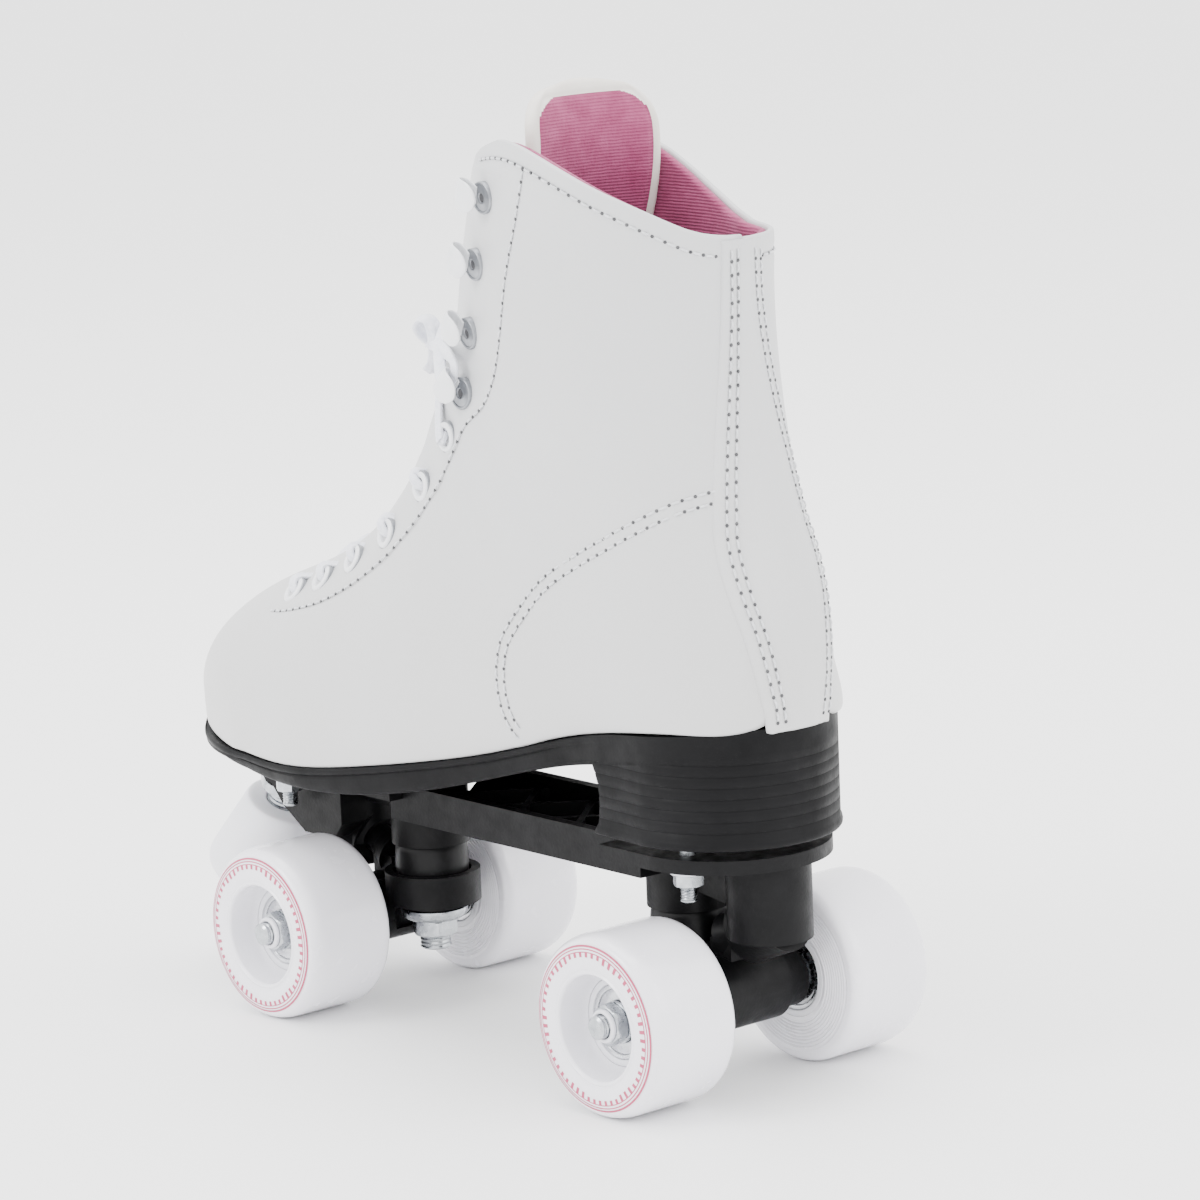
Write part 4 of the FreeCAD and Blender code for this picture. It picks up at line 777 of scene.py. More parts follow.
# The facing seam beside the eyelets: section count and share of the height.
FACING_SEAM = [
    (20.93, 0.50), (20.3, 0.515), (19.4, 0.545), (18.2, 0.60), (16.9, 0.641), (15.4, 0.69), (13.84, 0.735),
    (12.3, 0.733), (11.0, 0.708), (9.83, 0.697), (8.78, 0.690), (7.96, 0.692), (7.2, 0.702), (6.6, 0.716),
    (6.1, 0.733), (5.55, 0.752), (5.1, 0.775)]
# Half width of the back strip at several heights.
STRIP_Z = np.array([96, 104, 115, 128, 140, 147, 156, 162, 175, 188, 201, 211, 221, 232, 262], float)
STRIP_HALF = np.array([10.5, 11.2, 12.6, 15.0, 17.0, 18.4, 19.1, 18.8, 16.6, 14.3, 11.9, 10.2, 8.8, 7.8,
                       7.2])


def side_projected(line, side):
    """Where points (x, z) of a side view fall on the boot's side, as section count and share."""
    line = smooth_path(line, 0.5)
    t_grid = np.linspace(6, 19.5, 541)
    s_grid = np.linspace(0.01, 0.75, 371)
    surface = boot_points(t_grid[:, None], s_grid[None, :], side)
    flat = surface[..., [0, 2]].reshape(-1, 2)
    found = []
    for point in line:
        nearest = np.argmin(((flat - point) ** 2).sum(axis=1))
        found.append((t_grid[nearest // len(s_grid)], s_grid[nearest % len(s_grid)]))
    return smoothed(np.array(found))


def smoothed(values, times=12):
    for step in range(times):
        values[1:-1] = (values[:-2] + 2 * values[1:-1] + values[2:]) / 4
    return values


def on_surface(places, side, lift=0.0):
    """Points and normals on the outer surface for rows of section count and share."""
    points = boot_points(places[:, 0], places[:, 1], side)
    normals = boot_normal(places[:, 0], places[:, 1], side)
    return points + normals * lift, normals


def offset_line(points, normals, distance):
    """A line on the surface moved sideways by a distance."""
    along = unit(np.gradient(points, axis=0))
    return points + np.cross(normals, along) * distance


def counter_rows(side):
    points, normals = on_surface(side_projected(COUNTER_SEAM, side), side)
    return [(offset_line(points, normals, d), normals) for d in (0.0, 3.2 * side)]


def facing_row(side):
    places = spline(FACING_SEAM)(np.linspace(0, len(FACING_SEAM) - 1, 700))
    points, normals = on_surface(places, side)
    below = points[:, 2] < collar_height(points[:, 0], side) - 5.6
    return points[below], normals[below]


def collar_row(side):
    share = np.linspace(0.012, 0.80, 800)
    t = eased(np.full_like(share, LAST), share, side, 5.2)
    return on_surface(np.stack([t, share], axis=1), side)


# Distances of the strip's two stitch rows from its edge, and the height where the heel begins.
STRIP_ROWS = (3.4, 5.9)
STRIP_LOW = 112.6


def row_ease(z):
    """The strip's stitch rows lie closer to its edge near the collar, where it is narrow."""
    return np.interp(z, (195, 235), (1.0, 0.86))


def strip_rows():
    """Two rows of stitches along each edge of the back strip."""
    rows = []
    z = np.linspace(STRIP_LOW, 246.0, 500)
    half = smoothed(np.interp(z, STRIP_Z, STRIP_HALF), 60)
    for side in (1, -1):
        for inset in STRIP_ROWS:
            outset = 0.0 if side > 0 else 1.9
            points, normals = back_points((half - (inset - outset) * row_ease(z)) * side, z, 1.15)
            rows.append((points, normals))
    return rows


def back_points(y, z, lift):
    """Points on the back of the boot for given y and z, and their normals."""
    t_grid = np.linspace(13.6, 21, 297)
    s_grid = np.linspace(0, 0.42, 127)
    surface = {side: boot_points(t_grid[:, None], s_grid[None, :], side) for side in (1, -1)}
    points, normals = [], []
    for yy, zz in zip(np.ravel(y), np.ravel(z)):
        side = 1 if yy >= 0 else -1
        grid = surface[side]
        gap = (grid[..., 1] - yy) ** 2 + (grid[..., 2] - zz) ** 2 + np.where(grid[..., 0] > -40, 1e6, 0)
        i, j = np.unravel_index(np.argmin(gap), gap.shape)
        i0, j0 = min(max(i, 1), len(t_grid) - 2), min(max(j, 1), len(s_grid) - 2)
        here = grid[i0, j0]
        dt = (grid[i0 + 1, j0] - grid[i0 - 1, j0]) / 2
        ds = (grid[i0, j0 + 1] - grid[i0, j0 - 1]) / 2
        system = np.array([[dt[1], ds[1]], [dt[2], ds[2]]])
        goal = np.array([yy - here[1], zz - here[2]])
        steps = np.clip(np.linalg.lstsq(system, goal, rcond=None)[0], -3, 3)
        points.append((here[0] + dt[0] * steps[0] + ds[0] * steps[1], yy, zz))
        normal = unit(np.cross(ds, dt)) * side
        normals.append(normal if normal[0] < 0.5 else -normal)
    points, normals = np.array(points), np.array(normals)
    return points + normals * lift, normals


# ---------------------------------------------------------------- stitches

def stitch_row(build, points, normals, pitch=3.9, thread=0.36, share=0.7, lift=0.1, holes=True):
    """Stitches along a line: short sunk threads with a needle hole at each end, its dark colour painted
    shade.
    """
    along = np.concatenate([[0], np.cumsum(np.linalg.norm(np.diff(points, axis=0), axis=1))])
    count = int(along[-1] / pitch)

    def at(place):
        spot = np.array([np.interp(place, along, points[:, k]) for k in range(3)])
        up = unit(np.array([np.interp(place, along, normals[:, k]) for k in range(3)]))
        return spot, up

    steps = np.linspace(0, 1, 6)
    heights = np.array([-0.35, 0.06, 0.2, 0.2, 0.06, -0.35]) + lift
    angles = np.linspace(0, 2 * math.pi, 6, endpoint=False)
    for k in range(count):
        start = (k + (1 - share) / 2) * pitch
        ring = []
        for f, h in zip(steps, heights):
            spot, up = at(start + f * share * pitch)
            ahead, behind = at(start + f * share * pitch + 0.2)[0], at(start + f * share * pitch - 0.2)[0]
            side = unit(np.cross(up, ahead - behind))
            thick = thread * (1.0 if 0 < f < 1 else 0.6)
            ring.append(spot + up * h + np.outer(np.cos(angles), side) * thick
                        + np.outer(np.sin(angles), up) * thick * 0.8)
        build.add(np.concatenate(ring), grid_faces(6, 6, False, True))
        if holes:
            spot, up = at(k * pitch)
            first, second, up = axis_frame(up)
            wide = np.outer(np.cos(angles), first) + np.outer(np.sin(angles), second)
            hole = np.vstack([spot + up * (lift - 0.02) + wide * 0.56, spot - up * 0.5 + wide * 0.15])
            walls = [(i, (i + 1) % 6, 6 + (i + 1) % 6, 6 + i) for i in range(6)]
            build.add(hole, walls + [tuple(range(5, -1, -1))], 1)


def make_stitches():
    rows = {"facing_stitches": [facing_row(side) for side in (1, -1)],
            "counter_stitches": [row for side in (1, -1) for row in counter_rows(side)],
            "collar_stitches": [collar_row(side) for side in (1, -1)],
            "strip_stitches": strip_rows()}
    for name, lines in rows.items():
        build = Build()
        for points, normals in lines:
            stitch_row(build, points, normals)
        build.piece(name, [THREAD, PAINTED_HOLE_SHADE], slot="white_leather")
    return rows


SEAM_ROWS = make_stitches()


# ---------------------------------------------------------------- upper, strip and lining

def seam_tree():
    rows = [row for name, lines in SEAM_ROWS.items() if name != "strip_stitches" for row in lines]
    places = np.vstack([points[::2] for points, normals in rows])
    tree = kdtree.KDTree(len(places))
    for i, place in enumerate(places):
        tree.insert(place, i)
    tree.balance()
    return tree


SEAMS = seam_tree()


def leather_relief(face):
    """Height of the leather over the plain form: seam grooves, soft creases at the ankle and broad swells,
    fading out towards the sole.
    """
    flat = face.reshape(-1, 3)
    groove = np.array([SEAMS.find(point)[2] for point in flat])
    height = -0.28 * np.exp(-(groove / 0.9) ** 2) + 0.16 * np.exp(-((groove - 2.6) / 1.5) ** 2)
    x, y, z = flat.T
    turn = y / 36
    ankle = np.exp(-((x + 5) / 45) ** 2) * np.exp(-((z - 165) / 38) ** 2)
    folds = np.sin(0.19 * x - 0.33 * z + 1.6 * np.sin(0.05 * x + 0.04 * z) + 0.5 * turn)
    soft = np.sin(0.031 * x + 0.8 * turn) * np.sin(0.027 * z + 0.013 * x) * 0.35
    height += ankle * folds * 0.22 + soft
    fade = np.clip((z - 84) / 14, 0, 1)
    return (height * fade).reshape(face.shape[:-1])


def lining_relief(face):
    return np.zeros(face.shape[:-1])


boot_layer("upper_leather", 0.0, 1.85, 0.0, 0.0, leather_relief, LEATHER, replaces=("upper",),
           slot="white_leather")
boot_layer("lining_fabric", 2.05, 4.7, 0.9, 1.0, lining_relief, LINING, replaces=("lining",),
           slot="pink_lining")


def make_back_strip():
    """The strip that covers the rear seam: a thin leather band with turned-down edges."""
    rows, columns = 150, 33
    heights = np.linspace(109.8, 247.4, rows)
    half = smoothed(np.interp(heights, STRIP_Z, STRIP_HALF), 30)
    place = np.linspace(-1, 1, columns)
    y = half[:, None] * place[None, :]
    z = heights[:, None] * np.ones(columns)[None, :]
    base, normals = back_points(y, np.maximum(z, STRIP_LOW), 0.0)
    base, normals = base.reshape(rows, columns, 3), normals.reshape(rows, columns, 3)
    base[..., 2] = z
    for step in range(3):
        normals[:, 1:-1] = unit(normals[:, :-2] + normals[:, 1:-1] * 2 + normals[:, 2:])
    thick = 1.15 * np.clip((1 - np.abs(place)) * 9, 0, 1) ** 0.5
    rise = np.minimum(thick[None, :], 1.15) * np.ones((rows, 1))
    grooves = np.zeros_like(rise)
    for inset in STRIP_ROWS:
        row = half[:, None] - inset * row_ease(z)
        grooves -= 0.26 * np.exp(-((np.abs(y) - row) / 0.8) ** 2)
    top = base + normals * (rise + grooves)[..., None]
    under = base - normals * 0.25
    loop = np.concatenate([top, under[:, ::-1]], axis=1)
    faces = grid_faces(rows, 2 * columns, False, True, flip=True)
    faces += [tuple(range(2 * columns)), tuple(range((rows - 1) * 2 * columns, rows * 2 * columns))[::-1]]
    piece("back_strip_leather", loop.reshape(-1, 3), faces, LEATHER, replaces=("back_strip",),
          slot="white_leather")


make_back_strip()


# ---------------------------------------------------------------- tongue

# Stations of the tongue, from the toe end up: x, z, half width, and how far its sides curve back.
TONGUE = [
    (95, 125.5, 9, 3), (79, 132.5, 14, 5.5), (64, 141.5, 17, 8), (51.5, 153, 19, 10.5),
    (40.5, 165.2, 20, 14), (30.5, 179.3, 20.5, 16.3), (22.5, 197.5, 21, 19.2), (8, 218, 22.5, 18.4),
    (-10, 238, 24, 12.6), (-22, 256, 25, 7.2), (-26.5, 271, 25, 4.8), (-26, 281, 24.5, 3.9),
    (-24.5, 288, 24, 3.2),
]


def make_tongue():
    """Padded tongue: coated face outside, ribbed lining inside, a bound edge with rounded corners."""
    rows, columns = 230, 81
    station = np.linspace(0, len(TONGUE) - 1, rows)
    station = station + 0.35 * np.sin(math.pi * station / station[-1]) * np.linspace(0, 1, rows)
    x, z, half, depth = spline(TONGUE)(np.minimum(station, len(TONGUE) - 1)).T
    height = np.concatenate([[0], np.cumsum(np.hypot(np.diff(x), np.diff(z)))])
    left = height[-1] - height
    corner = 13.0
    half = half - corner * (1 - np.sqrt(1 - np.clip(1 - left / corner, 0, 1) ** 2))
    along = unit(np.stack([np.gradient(x), np.gradient(z)], axis=1))
    outward = np.stack([along[:, 1], -along[:, 0]], axis=1)
    across = np.linspace(-1, 1, columns)
    full = np.abs(half[:, None] * across[None, :]) / np.maximum(spline(TONGUE)(station)[:, 2:3], 1)
    drop = depth[:, None] * full ** 2
    from_edge = np.minimum(half[:, None] * (1 - np.abs(across))[None, :], left[:, None] + 0 * full)
    turn = 9.0
    side_gap = np.clip(turn - half[:, None] * (1 - np.abs(across))[None, :], 0, None)
    top_gap = np.clip(turn - left, 0, None)[:, None]
    from_binding = turn - np.hypot(side_gap, top_gap)
    swell = np.clip(from_edge / 5.0, 0, 1)
    thick = 1.1 + 1.7 * np.sqrt(1 - (1 - swell) ** 2)
    seam = -0.45 * np.exp(-((from_edge - 3.6) / 0.8) ** 2)
    rim = np.sqrt(1 - np.clip(1 - from_edge / 1.3, 0, 1) ** 2) * 0.85 + 0.15
    crown = 2.2 * np.clip(1 - left / 9.0, 0, 1)[:, None] ** 2 * (1 - across[None, :] ** 2)

    def sheet(offset):
        lift = offset - drop
        place = np.stack([x[:, None] + outward[:, 0:1] * lift, half[:, None] * across[None, :] + 0 * lift,
                          z[:, None] + outward[:, 1:2] * lift + crown], axis=-1)
        return place
    front = sheet((thick + seam) * rim)
    back = sheet(-(thick + seam) * rim)
    loop = np.concatenate([front, back[:, ::-1]], axis=1)
    width = 2 * columns
    faces = grid_faces(rows, width, False, True, flip=True)
    looks = []
    for i in range(rows - 1):
        for j in range(width):
            on_front = j < columns - 1
            place = min(j if on_front else width - 1 - j, columns - 1)
            near = from_binding[i + 1, place] < 3.4
            looks.append(2 if near else (0 if on_front else 1))
    for end, flip in ((0, False), (rows - 1, True)):
        first = end * width
        for j in range(columns - 1):
            face = (first + j, first + j + 1, first + width - 2 - j, first + width - 1 - j)
            faces.append(face[::-1] if flip else face)
            looks.append(2)
    made = piece("tongue_pad", loop.reshape(-1, 3), faces, [LEATHER, LINING, BINDING], face_materials=looks,
                 replaces=("tongue",), slot="tongue_padding")


make_tongue()


# ---------------------------------------------------------------- sole, heel and insole

SOLE_TOP = np.array([(s[0], s[1] - 0.1) for s in SECTIONS[:14]] + [(-104, 110.6), (-118, 111.5)])[::-1]
SOLE_BOTTOM = np.array([
    (-118, 103.5), (-92, 101.5), (-70, 98.5), (-45, 94.4), (-18, 87.6), (8, 80.6), (30, 76.2), (52, 73.6),
    (76, 72.85), (100, 73.8), (120, 76.6), (138, 80.2), (160, 86.4)])


def height_line(stations):
    """A smooth height over x through a few points."""
    order = spline(stations)(np.linspace(0, len(stations) - 1, 600))
    keep = np.concatenate([[True], np.diff(np.maximum.accumulate(order[:, 0])) > 0])
    return lambda x: np.interp(x, order[keep, 0], order[keep, 1])


SOLE_TOP_Z = height_line(SOLE_TOP)
SOLE_BOTTOM_Z = height_line(SOLE_BOTTOM)


def sole_outline(count=360, start=HEEL_CENTRE - HEEL_R, end=TOE_START + TOE_LENGTH):
    """Plan of the sole as evenly spaced points, from the heel's back round by the left side."""
    share = (1 - np.cos(np.linspace(0, math.pi, 700))) / 2
    x = start + (end - start) * share
    left = np.stack([x, sole_half(x)], axis=1)
    right = np.stack([x, -sole_half(x) * inner_side_gain(x)], axis=1)[::-1]
    loop = np.concatenate([left, right[1:]])
    return even(loop, np.linalg.norm(np.diff(loop, axis=0), axis=1).sum() / count)[:-1]


def plan_normals(loop):
    ahead = np.roll(loop, -1, axis=0) - np.roll(loop, 1, axis=0)
    normal = unit(np.stack([-ahead[:, 1], ahead[:, 0]], axis=1))
    return smoothed(normal, 4)


def capped(build, rings, look=0):
    """Join rings of equal counts, and close both ends with strips across."""
    count = len(rings[0])
    build.add(np.concatenate(rings), grid_faces(len(rings), count, False, True), look)
    for ring, flip in ((rings[0], False), (rings[-1], True)):
        faces = []
        for i in range(count // 2 - 1):
            face = (i, count - 1 - i, count - 2 - i, i + 1)
            faces.append(face if flip else face[::-1])
        build.add(ring, faces, look)


def make_outsole():
    """Moulded outsole: a wall that leans in at the foot, and a raised bead along its top edge."""
    loop = sole_outline()
    normal = plan_normals(loop)
    toe = np.clip((loop[:, 0] - 70) / 80, 0, 1) ** 2
    loop = loop - normal * (2.6 * toe)[:, None]
    top = SOLE_TOP_Z(loop[:, 0]) - 2.6 * toe
    bottom = SOLE_BOTTOM_Z(loop[:, 0])
    height = np.clip(top - bottom, 4.5, None)
    # Each level: distance out, height, and what the height counts from: 0 for a height over the bottom,
    # 1 for a share of the wall, 2 for a height over the top edge.
    levels = [
        (-3.2, 0.0, 0), (-1.7, 0.05, 0), (-0.9, 0.35, 0), (-0.5, 0.9, 0), (-0.15, 2.0, 0), (0.15, 0.55, 1),
        (0.1, -3.1, 2), (-0.1, -2.8, 2), (-0.25, -2.5, 2), (-0.1, -2.3, 2), (0.25, -2.0, 2), (0.45, -1.5, 2),
        (0.45, -0.9, 2), (0.2, -0.35, 2), (-0.3, -0.1, 2), (-2.6, 0.0, 2)]
    rings = []
    ahead_of_heel = np.clip((loop[:, 0] + 62) / 30, 0, 1)
    for out, rise, kind in levels:
        z = (bottom + rise, bottom + height * rise, top + rise)[kind]
        flat = loop + normal * (out * np.maximum(ahead_of_heel, out < -2.5))[:, None]
        rings.append(np.column_stack([flat, z]))
    build = Build()
    capped(build, rings)
    made = build.piece("outsole_rubber", SOLE, replaces=("outsole",), slot="black_sole")
    weld(made)
    sharpen(made, 50)


HEEL_FRONT = -57.5
HEEL_GROOVES = 8
LIFT = 3.3


def heel_loop(inset, front, count=220):
    """Plan of the heel at one height: heel curve, straight sides and a front face with small corners."""
    x = np.linspace(HEEL_CENTRE - HEEL_R, front - 2.5, 400)
    left = np.stack([x, sole_half(x)], axis=1)
    corner = [(front - 1.0, left[-1, 1] - 0.3), (front - 0.2, left[-1, 1] - 1.2), (front, left[-1, 1] - 2.6)]
    across = np.linspace(corner[-1][1], -corner[-1][1], 60)[1:-1]
    face = np.stack([front + 0 * across, across], axis=1)
    half = np.concatenate([left, corner])
    loop = np.concatenate([half, face, half[::-1][:-1] * (1, -1)])
    loop = even(loop, np.linalg.norm(np.diff(loop, axis=0), axis=1).sum() / count)[:-1]
    return loop + plan_normals(loop) * -inset


def make_heel():
    """Stacked heel: fine grooves between the lifts and a rounded lip at the bottom."""
    low = PLATE_TOP + 0.02
    layers = [(low, 0.1), (low + 0.15, -0.2), (low + 0.6, -0.5), (low + 1.4, -0.6), (low + 2.4, -0.4),
              (low + 3.1, 0.0)]
    for groove in range(HEEL_GROOVES):
        z = low + 5.0 + groove * LIFT
        layers += [(z - 0.25, 0.0), (z - 0.1, 0.16), (z, 0.2), (z + 0.1, 0.16), (z + 0.25, 0.0)]
    layers += [(108, 0.0)]
    build = Build()
    rings = []
    for z, inset in layers:
        front = HEEL_FRONT + 2.4 * math.exp(-(z - low) / 3.5) + 5.0 * max(0, (z - 86) / 14) ** 2
        loop = heel_loop(inset, front)
        level = np.minimum(z, SOLE_BOTTOM_Z(loop[:, 0]) + 1.0)
        rings.append(np.column_stack([loop, level]))
    capped(build, rings)
    made = build.piece("heel_stack", SOLE, replaces=("heel_block",), slot="black_sole")
    weld(made, 0.01)
    sharpen(made, 60)


def make_insole():
    """Thin padded insole inside the boot."""
    loop = sole_outline(240)
    normal = plan_normals(loop)
    inset = 6.2 + 3.2 * np.clip((loop[:, 0] - 60) / 90, 0, 1)
    top = np.interp(loop[:, 0], SOLE_TOP[:, 0], SOLE_TOP[:, 1]) + 8.2
    rings = []
    for grow, drop in ((1.0, -3.0), (0.2, -2.8), (-0.2, -1.2), (0.6, -0.2), (2.4, 0.0)):
        rings.append(np.column_stack([loop - normal * (inset[:, None] + grow), top + drop]))
    build = Build()
    capped(build, rings)
    made = build.piece("insole_pad", LINING, replaces=("insole",), slot="insole_foam")
    weld(made)


make_outsole()
make_heel()
make_insole()


# ---------------------------------------------------------------- wheels

def tyre_outline():
    """Closed outline of the tyre, counted along the axle from its inner face."""
    points = [(13.05, 0.2)]
    for r in np.arange(14.2, 23.2, 1.0):
        points += [(r, 0.0), (r + 0.3, 0.35), (r + 0.6, 0.35)]
    points += [(23.4, 0.0)]
    for a in np.linspace(0, math.pi / 2, 9):
        points.append((24.2 + 2.8 * math.sin(a), 4.6 - 4.4 * math.cos(a)))
    points += [(27.0, 7.0), (27.0, 14.0), (27.0, 21.0), (27.0, 25.0)]
    for a in np.linspace(0.15, math.pi / 2, 10):
        points.append((24.0 + 3.0 * math.cos(a), 25.4 + 5.9 * math.sin(a)))
    points += [(face_r, outer_face(face_r)) for face_r in np.linspace(23.6, 16.9, 12)]
    for a in np.linspace(0.2, math.pi / 2, 7):
        points.append((16.6 - 1.2 * math.sin(a), 30.5 + 1.3 * math.cos(a)))
    points += [(15.2, 29.0), (14.7, 26.6), (14.1, 24.4), (13.6, 23.2), (13.05, 22.6)]
    return points


def outer_face(r):
    """Height of the tyre's printed face over its inner face."""
    return 31.3 + 0.7 * math.sin(math.pi * min(max((24.4 - r) / 7.6, 0), 1)) ** 0.6


def ring_print(build, centre, axis, inner, outer, segments=144, start=0.0, sweep=2 * math.pi, steps=1):
    """A printed band that lies on the tyre's outer face."""
    first, second, axis = axis_frame(axis)
    closed = sweep > 6.28
    count = segments if closed else max(2, int(segments * sweep / (2 * math.pi)) + 1)
    angles = start + sweep * np.arange(count) / (count if closed else count - 1)
    around = np.cos(angles)[:, None] * first + np.sin(angles)[:, None] * second
    radii = np.linspace(inner, outer, steps + 1)
    rows = [centre + around * r + axis * (outer_face(r) + 0.05) for r in radii]
    build.add(np.concatenate(rows), grid_faces(len(radii), count, False, closed, flip=True))


TEETH = 54
# Where a wheel's two bearings start, counted along the axle from the wheel's inner face.
BEARINGS = (0.3, 15.3)
BEARING_WIDTH = 7.0
# A bearing's dished shield: radius, and height over its outer face.
SHIELD = [(5.75, 0.0), (6.4, -0.1), (8.9, -0.1), (9.55, 0.15), (9.55, 0.4), (8.8, 0.3), (6.4, 0.3),
          (5.75, 0.35)]


def make_wheel(end, side):
    """One wheel: tyre with its print, core, bearings and shields."""
    place = end, side
    key = "%s_%s" % place
    out = 1 if side == "left" else -1
    axis = np.array((0.0, out, 0.0))
    centre = WHEEL_CENTRE[place] - (MIDDLE_X, 0, 0)
    inner = centre - axis * WHEEL_WIDTH / 2
    body = "wheel_" + key
    build = Build()
    lathe(build, tyre_outline(), inner, axis, 144)
    build.piece("tyre_urethane_" + key, URETHANE, body=body, replaces=("tyre_" + key,),
                slot="white_wheel", sharp=40)
    build = Build()
    for low, high in ((23.75, 24.3), (22.95, 23.3), (22.1, 22.4)):
        ring_print(build, inner, axis, low, high)
    for tooth in range(TEETH):
        tip = 20.2 if tooth % 9 in (0, 1, 2) else 20.8
        ring_print(build, inner, axis, tip, 22.2, 700, 2 * math.pi * tooth / TEETH, 0.05, 2)
    build.piece("tyre_print_" + key, PRINT, body=body, slot="white_wheel")
    build = Build()
    core = [(11.05, 0.1), (13.0, 0.1), (13.0, 22.4), (12.4, 22.5), (11.05, 22.5), (11.05, 15.6), (9.4, 15.5),
            (9.4, 7.4), (11.05, 7.3)]
    lathe(build, softened(core, 0.35, 3), inner, axis, 96)
    build.piece("hub_core_" + key, HUB, body=body, replaces=("hub_" + key,), slot="wheel_hub", sharp=40)
    build = Build()
    for start in BEARINGS:
        end_face = start + BEARING_WIDTH
        lathe(build, softened(tube(9.6, 10.95, start, end_face), 0.3, 3), inner, axis, 72)
        for level, lean in ((start + 0.35, 1), (end_face - 0.35, -1)):
            shield = [(r, level + rise * lean) for r, rise in SHIELD]
            lathe(build, shield if lean > 0 else shield[::-1], inner, axis, 72)
    build.piece("bearing_shells_" + key, BEARING, body=body, replaces=("bearing_rings_" + key,),
                slot="bearing_steel", sharp=30)


for place in PLACES:
    make_wheel(*place)


# ---------------------------------------------------------------- axles, nuts and washers

# Where the parts on an axle start, counted from the skate's middle plane.
WASHERS = (21.5, 45.35)
INNER_RACES = (23.1, 38.1)
LOCK_NUT = 46.3


def make_axle(end):
    """Threaded axle ends, lock nuts and washers of one truck."""
    x = AXLE_X if end == "front" else -AXLE_X
    axle, nuts, washers, rings = Build(), Build(), Build(), Build()
    body = "truck_" + end
    lathe(axle, tube(CORE, 3.45, -46.5, 46.5), (x, 0, WHEEL_R), (0, 1, 0), 40)
    for out in (1, -1):
        axis = np.array((0.0, out, 0.0))
        here = np.array((x, 0.0, WHEEL_R))
        threaded_rod(axle, here + axis * 45.4, axis, 3.48, 8.2, 1.0)
        hex_nut(nuts, here + axis * LOCK_NUT, axis, 11.0, 4.0, 3.55, 0, 0.4 * out)
        collar = [(3.6, 4.0), (4.9, 4.0), (4.9, 4.9), (4.4, 5.4), (3.9, 5.4), (3.6, 5.0)]
        lathe(nuts, softened(collar, 0.25, 2), here + axis * LOCK_NUT, axis, 48, 1)
        for start in WASHERS:
            lathe(washers, softened(tube(3.6, 6.3, start, start + 0.9), 0.25, 3), here, axis, 60)
        for start in INNER_RACES:
            race = tube(3.55, 5.5, start, start + BEARING_WIDTH)
            lathe(rings, softened(race, 0.3, 3), here, axis, 60)
        spacer = tube(3.6, 4.7, 30.2, 38.0)
        lathe(rings, spacer, here, axis, 60)
    axle.piece("axle_rod_" + end, ZINC, body=body, replaces=("axle_" + end,), slot="zinc_steel", sharp=30)
    nuts.piece("lock_nuts_" + end, [ZINC, HUB], body=body, replaces=("axle_nuts_" + end,),
               slot="zinc_steel", sharp=25)
    washers.piece("speed_washers_" + end, ZINC, body=body, replaces=("axle_washers_" + end,),
                  slot="zinc_steel", sharp=30)
    rings.piece("inner_races_" + end, BEARING, body=body, replaces=("bearing_inner_rings_" + end,),
                slot="bearing_steel", sharp=30)


for end in ("front", "rear"):
    make_axle(end)


# ---------------------------------------------------------------- kingpins and cushions

# How far a kingpin stands behind its axle, and each cushion's lowest and highest level and radius.
KINGPIN_INSET = 18.8
CUSHIONS = (("upper", 38.2, 49.8, 11.6), ("lower", 26.9, 33.3, 9.7))


def make_kingpin(end):
    """Kingpin bolt, its nut, cup washer and the two rubber cushions."""
    sign = 1 if end == "front" else -1
    x = (AXLE_X - KINGPIN_INSET) * sign
    up = (0, 0, 1)
    pin = Build()
    lathe(pin, [(CORE, 24), (4.85, 24), (4.85, 66), (8.0, 66), (8.0, 71), (CORE, 71)], (x, 0, 0), up, 40)
    threaded_rod(pin, (x, 0, 24.2), (0, 0, -1), 4.9, 8.2, 1.25)
    pin.piece("kingpin_bolt_" + end, ZINC, replaces=("kingpin_" + end,), slot="zinc_steel", sharp=30)
    nut = Build()
    hex_nut(nut, (x, 0, 19.9), up, 13.0, 5.4, 4.95)
    nut.piece("kingpin_lock_nut_" + end, ZINC, replaces=("kingpin_nut_" + end,), slot="zinc_steel", sharp=25)
    cup = Build()
    outline = [(5.0, 25.4), (9.0, 25.4), (10.2, 26.4), (10.6, 27.8), (10.6, 28.9), (9.9, 28.9), (9.9, 27.8),
               (8.7, 26.7), (5.0, 26.6)]
    lathe(cup, softened(outline, 0.3, 2), (x, 0, 0), up, 72)
    cup.piece("cup_washer_" + end, ZINC, replaces=("cushion_washer_" + end,), slot="zinc_steel", sharp=35)
    for name, low, high, radius in CUSHIONS:
        cushion = Build()
        outline = [(5.2, low), (radius - 0.9, low)]
        middle = (low + high) / 2
        for k in range(1, 12):
            z = low + (high - low) * k / 12
            swell = math.sqrt(max(1 - ((z - middle) / (high - low) * 2) ** 2, 0)) * 0.8
            outline.append((radius - 0.85 + swell, z))
        outline += [(radius - 0.9, high), (5.2, high)]
        lathe(cushion, outline, (x, 0, 0), up, 72)
        # The level of the face on the plate or the washer, and of the face on the truck.
        held, moved = (high, low) if name == "upper" else (low, high)
        bend = ("truck_" + end, (x, 0, held), (x, 0, moved))
        cushion.piece("%s_cushion_%s" % (name, end), CUSHION, bend=bend,
                      replaces=("cushion_%s_%s" % (name, end),), slot="black_cushion", sharp=40)


for end in ("front", "rear"):
    make_kingpin(end)


# ---------------------------------------------------------------- plate bolts

PLATE_BOLT_X = (102.6, -85.0)
PLATE_BOLT_Y = 22.0


